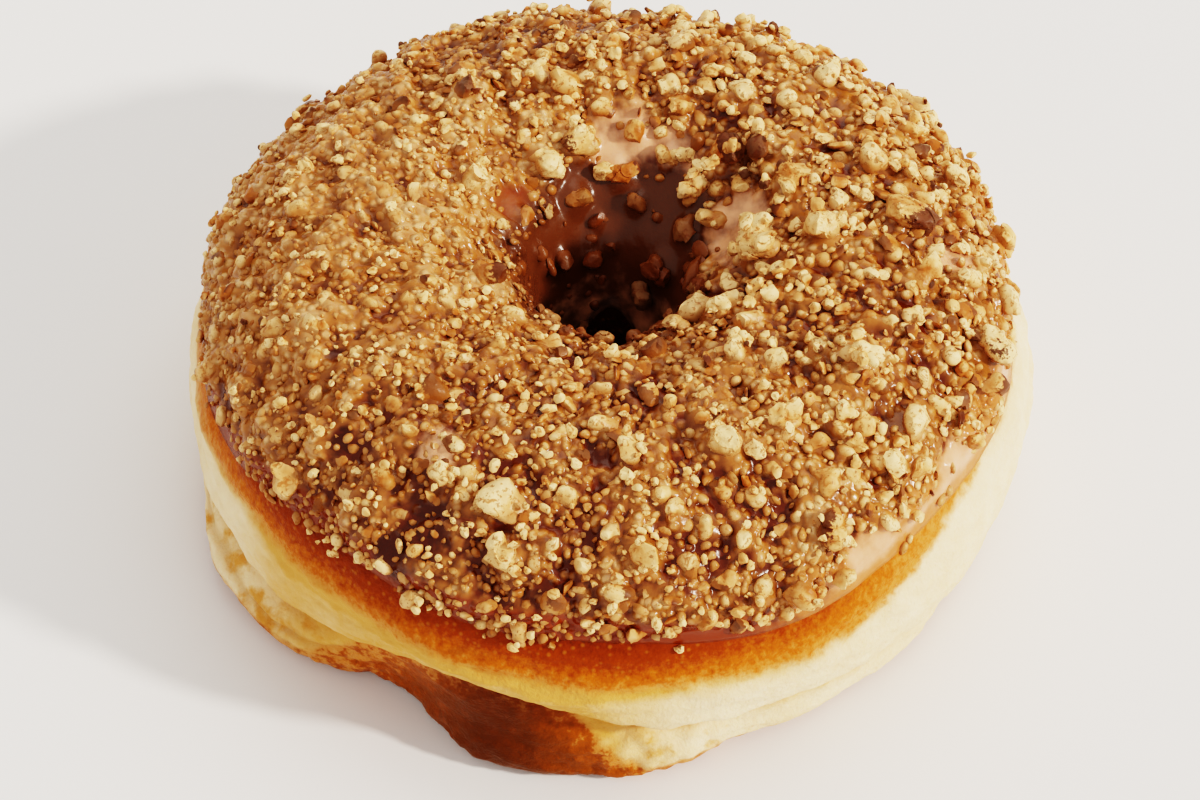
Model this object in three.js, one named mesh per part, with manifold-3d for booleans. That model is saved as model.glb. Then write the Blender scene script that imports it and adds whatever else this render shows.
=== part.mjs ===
// A yeast-raised ring doughnut with a poured glaze and chopped nuts, in millimetres, +Z up.
// Two solids: the fried dough ring, and the glaze coat with the nuts that are stuck in it.
// The origin is the middle of the ring, on the surface that it rests on. -Y is the front, where
// the browned underside is pushed out into a lip. Angles around the ring are counted from +X.
import * as THREE from "three";
import { LoftGeometry } from "three/addons/geometries/LoftGeometry.js";
import { mergeVertices } from "three/addons/utils/BufferGeometryUtils.js";
import Module from "manifold-3d";

const wasm = await Module();
wasm.setup();

// ---- Driving dimensions ----
const RING_DIAMETER = 99; // across the pale band, where the ring is widest
const RING_HEIGHT = 36; // from the flat foot to the crest of the dough
const CREST_RADIUS = 28; // of the circle that the crest runs along
const HOLE_DIAMETER = 15; // at the waist of the hole
const MOUTH_DIAMETER = 24; // of the hole's mouth, where the top turns down into it
const MOUTH_SPREAD = 5; // how much further the mouth opens at the back right
const BAND_HEIGHT = 14.4; // of the widest turn, in the middle of the pale band

// The underside, where it departs from a plain rounded edge.
const LIP = { at: -97, half: 31, reach: 2.4, fold: 3.4 }; // the browned lip at the front
const ROLL = { at: -154, half: 42, reach: 3.6, fold: 1.6 }; // the pale roll at the front left
const NOTCH = { at: -123, half: 15, depth: 3 }; // the nick between the two
const FOLD_DEPTH = 0.5; // of the crease under the pale band, where neither is near
const FLAP = { at: -111, half: 34, rise: 6.4, fill: 0.42 }; // the browned flap above the lip, up to
// which the crease rises, and how far it fills the crease for each millimetre of that

const COAT_THICKNESS = 1.0; // of the glaze
const COAT_RELIEF = 0.7; // of the fine grains that the glaze carries, from hollow to crown
const COAT_GAP = 0.3; // between the glaze and the dough, so that the two solids stay apart
const COAT_ROOT = 3; // how deep the coat's blank reaches into the dough before it is cut
const COAT_OUTER_DEG = 25; // edge of the glaze on the outside, from the heart of the tube
const COAT_INNER_DEG = 186; // edge of the glaze down in the hole

const LARGE_NUTS = { count: 32, least: 3.8, most: 5.4, blank: new THREE.IcosahedronGeometry(0.5, 0) };
const SMALL_NUTS = { count: 220, least: 2.6, most: 3.8, blank: new THREE.OctahedronGeometry(0.56, 0) };
const NUT_RISE = 0.16; // how far a nut's middle stands above the glaze, as a share of its size
const NUT_SPACING = 0.94; // least distance between two nuts, as a share of their mean size
const NUT_MARGIN_DEG = { outer: 4, outerRight: 5, inner: 26 }; // glaze left bare at its edges

// The biggest pieces of nut, set by eye: [degrees around the ring, degrees over the tube, size].
const SET_NUTS = [
  [5, 77, 6.8],
  [-2, 118, 6.0],
  [0, 101, 5.4],
  [21, 104, 4.8],
  [47, 112, 5.2],
  [49, 127, 4.2],
  [45, 154, 4.0],
  [85, 129, 4.2],
  [103, 119, 5.0],
  [119, 124, 5.2],
  [147, 116, 4.8],
  [-161, 125, 5.2],
  [-142, 40, 4.4],
  [-135, 137, 4.2],
  [-107, 66, 5.8],
  [-105, 53, 4.4],
  [-95, 136, 3.6],
  [-67, 83, 5.4],
  [-57, 49, 4.8],
  [-53, 81, 4.8],
  [-50, 133, 4.0],
  [-33, 80, 4.6],
  [-14, 45, 5.0],
];

// ---- Fineness ----
const AROUND = 60; // sections around the ring
const COAT_STEPS = 11; // steps of the coat across a section
const SKIN_STEPS = 6; // steps between two turns where a point on the skin is looked up
const MOST_TRIES = 6000; // places looked at for one kind of nut

const OUTER_RADIUS = RING_DIAMETER / 2;
const HOLE_RADIUS = HOLE_DIAMETER / 2;
const MOUTH_RADIUS = MOUTH_DIAMETER / 2;
const HEART = { rho: CREST_RADIUS + 0.5, z: BAND_HEIGHT + 0.7 }; // the middle of the tube's section
const TUBE_RADIUS = 18.5; // from the heart to the nuts, on average

const radians = THREE.MathUtils.degToRad;

// An angle brought into the turn from -pi to pi.
const wrapped = (angle) => Math.atan2(Math.sin(angle), Math.cos(angle));

// Random numbers from 0 to 1 that are the same at each run.
function seeded(seed) {
  let state = seed >>> 0;
  return () => {
    state = (state + 0x6d2b79f5) >>> 0;
    let t = state;
    t = Math.imul(t ^ (t >>> 15), t | 1);
    t ^= t + Math.imul(t ^ (t >>> 7), t | 61);
    return ((t ^ (t >>> 14)) >>> 0) / 4294967296;
  };
}

// 1 at an angle around the ring, falling smoothly to 0 at a half width on both sides of it.
function swell(theta, at, half) {
  const share = Math.abs(wrapped(theta - radians(at))) / radians(half);
  return share >= 1 ? 0 : Math.cos((share * Math.PI) / 2) ** 2;
}

// How far the ring departs from a true circle at an angle around it.
function unevenness(theta) {
  return 0.4 * Math.cos(2 * theta + 0.6) + 0.35 * Math.cos(3 * theta - 1.1) + 0.2 * Math.cos(7 * theta);
}

// The section of the ring at an angle: [distance from the axis, height] of its turns, from the
// foot outwards, up the outside, over the crest and down the hole.
function turns(theta) {
  const edge = OUTER_RADIUS + unevenness(theta);
  const lip = swell(theta, LIP.at, LIP.half);
  const roll = swell(theta, ROLL.at, ROLL.half);
  const under = LIP.reach * lip + ROLL.reach * roll - NOTCH.depth * swell(theta, NOTCH.at, NOTCH.half);
  const flap = FLAP.rise * swell(theta, FLAP.at, FLAP.half);
  const hollow = LIP.fold * swell(theta, LIP.at - 7, LIP.half + 15) + ROLL.fold * roll;
  const fold = FOLD_DEPTH + hollow - FLAP.fill * flap;
  const crest = RING_HEIGHT + 0.5 * Math.cos(2 * theta - 0.5);
  const spread = MOUTH_SPREAD * swell(theta, 50, 110);
  const mouth = MOUTH_RADIUS + spread;
  const waist = HOLE_RADIUS + 0.4 * Math.cos(2 * theta + 0.8);
  return [
    [waist + 10.5, 0], // the flat foot
    [edge - 17, 0],
    [edge - 8, 0],
    [edge - 3.4 + under, 1.5 - 0.5 * lip], // the lower edge, or the lip's rim
    [edge - 2.2 + 0.9 * under - 1.5 * lip, 4.9 + 0.5 * flap], // the lower roll, or the flap
    [edge - 1.3 - fold, 8.8 + flap], // the crease
    [edge - 0.6 - 0.1 * flap, 11.4 + 0.88 * flap],
    [edge - 0.1 * flap, BAND_HEIGHT + 0.64 * flap], // the pale band
    [edge - 0.5 - 0.08 * flap, 18 + 0.3 * flap],
    [edge - 2.6, 23.6], // the browned shoulder
    [edge - 8, 30.6],
    [CREST_RADIUS + 4, crest - 0.5], // the crest
    [CREST_RADIUS - 4, crest - 0.3],
    [mouth + 5, crest - 1.8],
    [mouth, crest - 4.8], // the mouth of the hole
    [waist + 1.8 + 0.2 * spread, 24.5],
    [waist, 16], // the waist
    [waist, 10],
    [waist + 2.2, 4],
    [waist + 5.6, 0.9],
  ];
}

// The closed, rounded section at an angle, with steps points between each turn and the next.
function section(theta, steps) {
  const knots = turns(theta).map(([rho, z]) => new THREE.Vector3(rho, 0, z));
  const curve = new THREE.CatmullRomCurve3(knots, true, "centripetal");
  const points = curve.getPoints(knots.length * steps).slice(0, -1);
  return points.map((p) => new THREE.Vector2(p.x, Math.max(p.z, 0)));
}

const place = (theta, rho, z) => new THREE.Vector3(rho * Math.cos(theta), rho * Math.sin(theta), z);

// Joins the sections into one closed ring.
function ring(sectionAt) {
  const sections = [];
  for (let i = AROUND; i > 0; i--) sections.push(sectionAt((i * 2 * Math.PI) / AROUND));
  return closed(new LoftGeometry([...sections, sections[0]]));
}

// A geometry with its shared vertices merged and nothing on them but their position.
function closed(geometry) {
  const bare = new THREE.BufferGeometry().setAttribute("position", geometry.attributes.position);
  if (geometry.index) bare.setIndex(geometry.index);
  return mergeVertices(bare, 1e-4);
}

function solid(geometry) {
  return new wasm.Manifold(
    new wasm.Mesh({
      numProp: 3,
      vertProperties: new Float32Array(geometry.attributes.position.array),
      triVerts: new Uint32Array(geometry.index.array),
    }),
  );
}

// The largest of a solid's bodies as a geometry, which drops loose scraps and fills sealed hollows.
function geometryOf(shape) {
  const body = shape.decompose().sort((a, b) => b.volume() - a.volume())[0];
  const mesh = body.getMesh();
  return new THREE.BufferGeometry()
    .setAttribute("position", new THREE.BufferAttribute(mesh.vertProperties, 3))
    .setIndex(new THREE.BufferAttribute(mesh.triVerts, 1));
}

// ---- The dough ring ----
const doughRing = () => ring((theta) => section(theta, 1).map((p) => place(theta, p.x, p.y)));

// The dough ring with its skin moved out by a distance, to cut what lies on it.
function grownRing(distance) {
  const geometry = doughRing();
  geometry.computeVertexNormals();
  const { position, normal } = geometry.attributes;
  const vertex = new THREE.Vector3();
  const out = new THREE.Vector3();
  for (let i = 0; i < position.count; i++) {
    out.fromBufferAttribute(normal, i);
    vertex.fromBufferAttribute(position, i).addScaledVector(out, distance);
    position.setXYZ(i, vertex.x, vertex.y, vertex.z);
  }
  return geometry;
}

// The point of the dough that is seen from the heart of the tube at an angle psi above the
// outward direction, and the normal there in the plane of the section.
function skinAt(theta, psi) {
  const points = section(theta, SKIN_STEPS);
  const turnTo = (p) => wrapped(Math.atan2(p.y - HEART.z, p.x - HEART.rho) - psi);
  for (let k = 0; k < points.length; k++) {
    const a = points[k];
    const b = points[(k + 1) % points.length];
    const from = turnTo(a);
    const to = turnTo(b);
    if (from <= 0 && to > 0 && to - from < 1) {
      const at = a.clone().lerp(b, -from / (to - from));
      const along = b.clone().sub(a).normalize();
      return { at, normal: new THREE.Vector2(along.y, -along.x) };
    }
  }
  throw new Error("no skin at " + theta + ", " + psi);
}

// ---- The glaze coat ----
function coatOuter(theta) {
  const waves = 2 * Math.cos(3 * theta + 1) + 1.5 * Math.cos(8 * theta);
  return radians(COAT_OUTER_DEG + waves - 5 * swell(theta, 180, 60));
}

function coatInner(theta) {
  const waves = 6 * Math.cos(2 * theta) + 4 * Math.cos(5 * theta + 2);
  return radians(COAT_INNER_DEG + waves);
}

// The coat as a thick shell that reaches into the dough, thinner towards its rims.
function coatBlank() {
  const random = seeded(5);
  return ring((theta) => {
    const from = coatOuter(theta);
    const to = coatInner(theta);
    const outside = [];
    const inside = [];
    for (let k = 0; k <= COAT_STEPS; k++) {
      const share = k / COAT_STEPS;
      const { at, normal } = skinAt(theta, from + (to - from) * share);
      const full = Math.min(1, 6 * Math.min(share, 1 - share));
      const grain = COAT_RELIEF * (random() - 0.5) * full;
      const lift = COAT_GAP + COAT_THICKNESS * (0.45 + 0.55 * full) + grain;
      outside.push(at.clone().addScaledVector(normal, lift));
      inside.unshift(at.clone().addScaledVector(normal, -COAT_ROOT));
    }
    return [...outside, ...inside].map((p) => place(theta, p.x, p.y));
  });
}

// ---- The nuts ----
// One chopped piece about 1 across: a faceted blank with its corners pushed in and out.
function nutPiece(blank, random) {
  const geometry = closed(blank);
  const position = geometry.attributes.position;
  for (let i = 0; i < position.count; i++) {
    const reach = 0.8 + 0.4 * random();
    position.setXYZ(i, position.getX(i) * reach, position.getY(i) * reach, position.getZ(i) * reach);
  }
  return geometry;
}

// The draw-th pair of numbers from 0 to 1 of a rule that fills a square evenly, with no clumps.
const evenPair = (draw) => [(0.5 + draw * 0.7548776662) % 1, (0.5 + draw * 0.569840291) % 1];

// Where nuts lie: those set by eye, then as many of each kind as asked for, spread evenly and
// kept apart by their sizes. They are coarser on the right than on the left.
function nutPlaces() {
  const random = seeded(11);
  const kept = SET_NUTS.map(([around, over, size]) => ({
    theta: radians(around),
    psi: radians(over),
    size,
    blank: LARGE_NUTS.blank,
  }));
  let draw = 0;
  for (const kind of [LARGE_NUTS, SMALL_NUTS]) {
    const wanted = kept.length + kind.count;
    for (let tries = 0; kept.length < wanted && tries < MOST_TRIES; tries++) {
      draw += 1;
      const [around, over] = evenPair(draw);
      const theta = 2 * Math.PI * around;
      const coarse = 0.92 + 0.12 * Math.cos(theta);
      const size = coarse * (kind.least + (kind.most - kind.least) * random() ** 1.6);
      const keep = random();
      const margin = NUT_MARGIN_DEG.outer + NUT_MARGIN_DEG.outerRight * swell(theta, -30, 60);
      const from = coatOuter(theta) + radians(margin);
      const to = coatInner(theta) - radians(NUT_MARGIN_DEG.inner);
      const psi = from + (to - from) * over;
      const rho = HEART.rho + TUBE_RADIUS * Math.cos(psi);
      if (keep > rho / OUTER_RADIUS) continue;
      const clear = kept.every((n) => {
        const apart = Math.hypot(wrapped(theta - n.theta) * rho, (psi - n.psi) * TUBE_RADIUS);
        return apart > (NUT_SPACING * (size + n.size)) / 2;
      });
      if (clear) kept.push({ theta, psi, size, blank: kind.blank });
    }
  }
  return kept;
}

function nut({ theta, psi, size, blank }, random) {
  const { at, normal } = skinAt(theta, psi);
  const lift = COAT_GAP + COAT_THICKNESS + NUT_RISE * size;
  const middle = place(theta, at.x + normal.x * lift, at.y + normal.y * lift);
  const spin = new THREE.Euler(...[1, 2, 3].map(() => 2 * Math.PI * random()));
  const stretch = new THREE.Vector3(1 + 0.25 * random(), 0.8 + 0.2 * random(), 0.75 + 0.2 * random());
  const turned = new THREE.Quaternion().setFromEuler(spin);
  const matrix = new THREE.Matrix4().compose(middle, turned, stretch.multiplyScalar(size));
  return nutPiece(blank, random).applyMatrix4(matrix);
}

function nutGlaze() {
  const random = seeded(23);
  const nuts = nutPlaces().map((n) => solid(nut(n, random)));
  const coat = wasm.Manifold.union([solid(coatBlank()), ...nuts]);
  return geometryOf(coat.subtract(solid(grownRing(COAT_GAP))));
}

// ---- Materials ----
const friedDough = new THREE.MeshStandardMaterial({ color: 0xcd8a3f, roughness: 0.62, metalness: 0 });
const nuttyGlaze = new THREE.MeshStandardMaterial({ color: 0xbd8a4c, roughness: 0.42, metalness: 0 });

const doughnut = new THREE.Group();
const pieces = [
  ["dough_ring", doughRing(), friedDough],
  ["nut_glaze", nutGlaze(), nuttyGlaze],
];
for (const [name, geometry, material] of pieces) {
  const mesh = new THREE.Mesh(geometry, material);
  mesh.name = name;
  doughnut.add(mesh);
}

export default doughnut;
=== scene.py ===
"""A yeast-raised ring doughnut with a poured sugar glaze and chopped nuts, dressed for the studio.

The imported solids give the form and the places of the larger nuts. Here the dough gets its skin,
creases and browning, the glaze its lumps and film, and the topping every grain at true size.
Sizes are in millimetres, and become metres when a mesh is written. Angles around the ring are
counted from +X, and angles over it from the outward direction, seen from the heart of the tube.
"""
import logging
import math
from dataclasses import dataclass, field
from enum import Enum
from itertools import product

import bmesh
import bpy
import numpy as np
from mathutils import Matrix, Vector, noise


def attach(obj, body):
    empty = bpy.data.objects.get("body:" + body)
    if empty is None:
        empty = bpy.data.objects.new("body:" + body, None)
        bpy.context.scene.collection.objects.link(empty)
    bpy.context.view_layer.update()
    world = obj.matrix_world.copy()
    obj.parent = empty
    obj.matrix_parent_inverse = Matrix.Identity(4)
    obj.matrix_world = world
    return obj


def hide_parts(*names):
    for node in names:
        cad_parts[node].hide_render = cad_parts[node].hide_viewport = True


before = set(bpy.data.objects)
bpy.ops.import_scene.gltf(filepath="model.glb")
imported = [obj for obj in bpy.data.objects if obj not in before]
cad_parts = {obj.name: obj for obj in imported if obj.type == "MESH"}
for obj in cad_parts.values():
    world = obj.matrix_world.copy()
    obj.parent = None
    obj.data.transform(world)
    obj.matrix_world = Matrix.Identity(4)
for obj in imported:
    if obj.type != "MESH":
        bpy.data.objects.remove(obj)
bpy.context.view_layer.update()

log = logging.getLogger("doughnut")

MM = 0.001  # one millimetre in metres
FULL_TURN = 2 * math.pi
WORD = 0xFFFFFFFF  # 32 bits, for the random numbers that the solids use as well
SPREAD = (0.7548776662, 0.569840291)  # steps that spread places evenly over a sheet

Span = tuple[float, float]


# ---- Angles, ramps and random numbers ----


def wrapped(angle: np.ndarray | float) -> np.ndarray | float:
    """The angle brought into the turn from -pi to pi."""
    return np.arctan2(np.sin(angle), np.cos(angle))


def swell(theta: np.ndarray | float, at: float, half: float) -> np.ndarray:
    """1 at an angle around the ring, falling smoothly to 0 at a half width on both sides.

    Args:
        theta: Angles around the ring, in radians.
        at: Angle of the middle, in degrees.
        half: Half width, in degrees.

    Returns:
        One value from 0 to 1 for each angle.
    """
    share = np.abs(wrapped(theta - math.radians(at))) / math.radians(half)
    return np.where(share >= 1, 0.0, np.cos(np.minimum(share, 1) * math.pi / 2) ** 2)


def ramp(value: np.ndarray | float, low: float, high: float) -> np.ndarray:
    """A smooth step from 0 at low to 1 at high."""
    share = np.clip((np.asarray(value, float) - low) / (high - low), 0, 1)
    return share * share * (3 - 2 * share)


def plateau(theta: np.ndarray, start: float, end: float, soft: float) -> np.ndarray:
    """1 between two angles around the ring, in degrees, with soft ends outside them."""
    middle = (start + end) / 2
    apart = np.abs(np.degrees(wrapped(theta - math.radians(middle))))
    half = (end - start) / 2
    return 1 - ramp(apart, half, half + soft)


def shelf(value: np.ndarray, up: Span, down: Span) -> np.ndarray:
    """A smooth step up over the first range, and down again over the second."""
    return ramp(value, *up) * (1 - ramp(value, *down))


def bell(value: np.ndarray, at: float, width: float) -> np.ndarray:
    """1 where a value is at its middle, falling off as a bell on both sides."""
    return np.exp(-(((value - at) / width) ** 2))


@dataclass(frozen=True)
class Hump:
    """Something that swells at one place of the ring: the angle, half width and amount there."""

    at: float  # degrees
    half: float
    most: float = 1.0

    def over(self, theta: np.ndarray | float) -> np.ndarray:
        """How much of it there is at each angle around the ring, in radians."""
        return self.most * swell(theta, self.at, self.half)


@dataclass(frozen=True)
class Stretch:
    """Something that holds along a stretch of the ring, between two angles with soft ends."""

    start: float  # degrees
    end: float
    soft: float
    most: float = 1.0

    def over(self, theta: np.ndarray | float) -> np.ndarray:
        """How much of it there is at each angle around the ring, in radians."""
        return self.most * plateau(theta, self.start, self.end, self.soft)


@dataclass(frozen=True)
class Wave:
    """Something that comes and goes evenly around the ring: amount, number of times, phase."""

    most: float
    number: int
    phase: float = 0.0  # radians

    def over(self, theta: np.ndarray | float) -> np.ndarray:
        """How much of it there is at each angle around the ring, in radians."""
        return self.most * np.cos(self.number * theta + self.phase)


def total(
    parts: tuple[Hump | Stretch | Wave, ...], theta: np.ndarray | float, start: float = 0.0
) -> np.ndarray:
    """The sum of some parts at each angle around the ring, in radians, added to a start."""
    return sum((part.over(theta) for part in parts), start)


class SeededDraws:
    """Random numbers from 0 to 1 that are the same at each run, as the solids draw them."""

    def __init__(self, seed: int) -> None:
        """Starts the row of numbers that belongs to a seed."""
        self.state = seed & WORD

    def draw(self) -> float:
        """The next number."""
        self.state = (self.state + 0x6D2B79F5) & WORD
        t = self.state
        t = ((t ^ (t >> 15)) * (t | 1)) & WORD
        t ^= (t + (t ^ (t >> 7)) * (t | 61)) & WORD
        return (t ^ (t >> 14)) / (WORD + 1)


def rough_noise(points: np.ndarray, feature: float, octaves: int, seed: float) -> np.ndarray:
    """Fractal noise at points of the doughnut.

    Args:
        points: Points in millimetres, with three numbers in the last axis.
        feature: Size of the largest lumps, in millimetres.
        octaves: How many halvings of that size are added.
        seed: Shifts the pattern, so that two patterns differ.

    Returns:
        Values from about -1 to 1, in the shape of the points without their last axis.
    """
    shift = Vector((17.3 * seed, -9.1 * seed, 5.7 * seed))
    flat = (points.reshape(-1, 3) / feature).tolist()
    values = [noise.fractal(Vector(p) + shift, 1.0, 2.0, octaves) for p in flat]
    return np.array(values).reshape(points.shape[:-1])


@dataclass(frozen=True)
class Relief:
    """A fractal relief: its height and size in millimetres, and the seed of its pattern."""

    height: float
    size: float
    seed: float
    squeeze: tuple[float, float, float] = (1.0, 1.0, 1.0)  # the larger, the finer that way

    def at(self, points: np.ndarray) -> np.ndarray:
        """How far it stands out at each point."""
        return self.height * rough_noise(points * self.squeeze, self.size, 2, self.seed)


# ---- The form of the ring ----


@dataclass(frozen=True)
class Fold:
    """A place where the side departs from a plain rounded edge."""

    at: float  # degrees around the ring
    half: float  # degrees to both sides
    reach: float  # how far the underside stands out there
    fold: float = 0.0  # how far the crease above it draws in, or the band above it rises

    def share(self, theta: np.ndarray) -> np.ndarray:
        """How much of it there is at each angle, from 0 to 1."""
        return swell(theta, self.at, self.half)


@dataclass(frozen=True)
class RingForm:
    """The doughnut's form, from the same driving dimensions as the solids, in millimetres."""

    ring_diameter: float = 99.0
    ring_height: float = 36.0
    crest_radius: float = 28.0
    hole_diameter: float = 15.0
    mouth_diameter: float = 24.0
    mouth_spread: float = 5.0
    band_height: float = 14.4
    lip: Fold = Fold(at=-97, half=31, reach=2.4, fold=3.4)
    roll: Fold = Fold(at=-154, half=42, reach=3.6, fold=1.6)
    notch: Fold = Fold(at=-123, half=15, reach=-3.0)
    fold_depth: float = 0.5
    flap: Fold = Fold(at=-111, half=34, reach=0.42, fold=6.4)  # reach is a share of fold here
    knot_count: int = 20
    tube_radius: float = 18.5
    edge_waves: tuple[Wave, ...] = (Wave(0.4, 2, 0.6), Wave(0.35, 3, -1.1), Wave(0.2, 7))
    crest_wave: Wave = Wave(0.5, 2, -0.5)
    waist_wave: Wave = Wave(0.4, 2, 0.8)
    mouth_side: Hump = Hump(50, 110)  # where the hole opens wider

    @property
    def heart(self) -> tuple[float, float]:
        """The middle of the tube's section: its distance from the axis, and its height."""
        return self.crest_radius + 0.5, self.band_height + 0.7

    def turns(self, theta: np.ndarray) -> np.ndarray:
        """The turns of the section at each angle, from the foot outwards, up, over and down the hole.

        Args:
            theta: Angles around the ring, in radians.

        Returns:
            Array of angles by turns by two: distance from the axis, and height.
        """
        edge = total(self.edge_waves, theta, self.ring_diameter / 2)
        lip, roll, nick = (part.share(theta) for part in (self.lip, self.roll, self.notch))
        under = self.lip.reach * lip + self.roll.reach * roll + self.notch.reach * nick
        broad = swell(theta, self.lip.at - 7, self.lip.half + 15)
        fold = self.fold_depth + self.lip.fold * broad + self.roll.fold * roll
        raised = self.flap.fold * self.flap.share(theta)
        fold = fold - self.flap.reach * raised
        crest = self.ring_height + self.crest_wave.over(theta)
        spread = self.mouth_spread * self.mouth_side.over(theta)
        mouth = self.mouth_diameter / 2 + spread
        waist = self.hole_diameter / 2 + self.waist_wave.over(theta)
        middle = self.crest_radius
        # Each turn as the solids have it, in millimetres from the edge, crest, mouth and waist.
        rows = [
            (waist + 10.5, 0.0),
            (edge - 17, 0.0),
            (edge - 8, 0.0),
            (edge - 3.4 + under, 1.5 - 0.5 * lip),
            (edge - 2.2 + 0.9 * under - 1.5 * lip, 4.9 + 0.5 * raised),
            (edge - 1.3 - fold, 8.8 + raised),
            (edge - 0.6 - 0.1 * raised, 11.4 + 0.88 * raised),
            (edge - 0.1 * raised, self.band_height + 0.64 * raised),
            (edge - 0.5 - 0.08 * raised, 18.0 + 0.3 * raised),
            (edge - 2.6, 23.6),
            (edge - 8, 30.6),
            (middle + 4, crest - 0.5),
            (middle - 4, crest - 0.3),
            (mouth + 5, crest - 1.8),
            (mouth, crest - 4.8),
            (waist + 1.8 + 0.2 * spread, 24.5),
            (waist, 16.0),
            (waist, 10.0),
            (waist + 2.2, 4.0),
            (waist + 5.6, 0.9),
        ]
        return np.stack([np.stack(np.broadcast_arrays(r, z, theta)[:2], -1) for r, z in rows], 1)

    def sections(self, theta: np.ndarray, along: np.ndarray) -> np.ndarray:
        """Points on the closed, rounded sections: a centripetal curve through the turns.

        Args:
            theta: Angles around the ring, in radians.
            along: Places on the section, counted in turns from the foot.

        Returns:
            Array of angles by places by two: distance from the axis, and height.
        """
        knots = self.turns(theta)
        p0, p1 = np.roll(knots, 1, 1), knots
        p2, p3 = np.roll(knots, -1, 1), np.roll(knots, -2, 1)
        d0, d1, d2 = (
            np.sqrt(np.linalg.norm(b - a, axis=2, keepdims=True))
            for a, b in ((p0, p1), (p1, p2), (p2, p3))
        )
        leave = ((p1 - p0) / d0 - (p2 - p0) / (d0 + d1) + (p2 - p1) / d1) * d1
        reach = ((p2 - p1) / d1 - (p3 - p1) / (d1 + d2) + (p3 - p2) / d2) * d1
        knot = np.floor(along).astype(int) % self.knot_count
        w = (along - np.floor(along))[None, :, None]
        a, b, m, n = p1[:, knot], p2[:, knot], leave[:, knot], reach[:, knot]
        points = a + m * w + (3 * (b - a) - 2 * m - n) * w**2 + (2 * (a - b) + m + n) * w**3
        points[..., 1] = np.maximum(points[..., 1], 0)
        return points


def placed(theta: np.ndarray, section: np.ndarray) -> np.ndarray:
    """Section points turned to their angles: three numbers in the last axis."""
    rho = section[..., 0]
    return np.stack([rho * np.cos(theta), rho * np.sin(theta), section[..., 1]], -1)


def sheet_normals(points: np.ndarray, closed_across: bool) -> np.ndarray:
    """Unit normals of a sheet that is closed around the ring.

    Args:
        points: Array of steps around by steps across by three.
        closed_across: Whether it is closed across as well.

    Returns:
        Array like the points, with the directions that point away from the dough.
    """
    around = np.roll(points, -1, 0) - np.roll(points, 1, 0)
    if closed_across:
        across = np.roll(points, -1, 1) - np.roll(points, 1, 1)
    else:
        across = np.gradient(points, axis=1)
    out = np.cross(around, across)
    return out / np.maximum(np.linalg.norm(out, axis=2, keepdims=True), 1e-9)


class SkinMap:
    """The skin of the dough by angle around the ring and angle over it, with its relief."""

    STEPS_AROUND = 720
    LOWEST, HIGHEST, STEP = 5.0, 212.0, 0.5  # degrees over the tube
    FIRST_TURN, LAST_TURN, PLACES = 6, 19.5, 300  # of the sections that are looked up

    def __init__(self, form: RingForm) -> None:
        """Looks up the form once at every half degree."""
        self.form = form
        theta = np.arange(self.STEPS_AROUND) * FULL_TURN / self.STEPS_AROUND
        along = np.linspace(self.FIRST_TURN, self.LAST_TURN, self.PLACES)
        section = form.sections(theta, along)
        rho0, z0 = form.heart
        psi = np.unwrap(np.arctan2(section[..., 1] - z0, section[..., 0] - rho0), axis=1)
        wanted = np.radians(np.arange(self.LOWEST, self.HIGHEST, self.STEP))
        rows = [
            np.stack([np.interp(wanted, p, s[:, k]) for k in range(2)], -1)
            for p, s in zip(psi, section)
        ]
        self.points = placed(theta[:, None], np.array(rows))
        self.normals = sheet_normals(self.points, closed_across=False)
        lumps = dough_lumps(self.points)
        self.points = self.points + self.normals * lumps[..., None]

    def at(self, theta: np.ndarray, psi: np.ndarray) -> tuple[np.ndarray, np.ndarray]:
        """Points and normals of the skin.

        Args:
            theta: Angles around the ring, in radians.
            psi: Angles over the tube, in radians.

        Returns:
            The points in millimetres, and the unit normals there.
        """
        i = (np.asarray(theta) % FULL_TURN) * self.STEPS_AROUND / FULL_TURN
        j = (np.degrees(psi) - self.LOWEST) / self.STEP
        j = np.clip(j, 0, self.points.shape[1] - 1.001)
        i0, j0 = np.floor(i).astype(int), np.floor(j).astype(int)
        wi, wj = (i - i0)[..., None], (j - j0)[..., None]
        i0, i1 = i0 % self.STEPS_AROUND, (i0 + 1) % self.STEPS_AROUND
        found = []
        for table in (self.points, self.normals):
            near = table[i0, j0] * (1 - wj) + table[i0, j0 + 1] * wj
            far = table[i1, j0] * (1 - wj) + table[i1, j0 + 1] * wj
            found.append(near * (1 - wi) + far * wi)
        point, out = found
        return point, out / np.linalg.norm(out, axis=-1, keepdims=True)


def dough_lumps(points: np.ndarray) -> np.ndarray:
    """How far the proved dough swells out of its plain form, in millimetres."""
    return Relief(0.4, 15.0, 1.0).at(points) + Relief(0.09, 3.2, 2.0).at(points)


# ---- Meshes from arrays, on blanks that bmesh makes ----


def new_piece(name: str, mesh: bpy.types.Mesh) -> bpy.types.Object:
    """Links a mesh into the scene, smooth shaded, as an object at the origin."""
    mesh.polygons.foreach_set("use_smooth", np.ones(len(mesh.polygons), bool))
    piece = bpy.data.objects.new(name, mesh)
    bpy.context.scene.collection.objects.link(piece)
    return piece


def add_values(mesh: bpy.types.Mesh, values: dict[str, np.ndarray]) -> None:
    """Stores one number at each point of a mesh for each name."""
    for name, numbers in values.items():
        layer = mesh.attributes.new(name, "FLOAT", "POINT")
        layer.data.foreach_set("value", np.asarray(numbers, np.float32).ravel())


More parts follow.
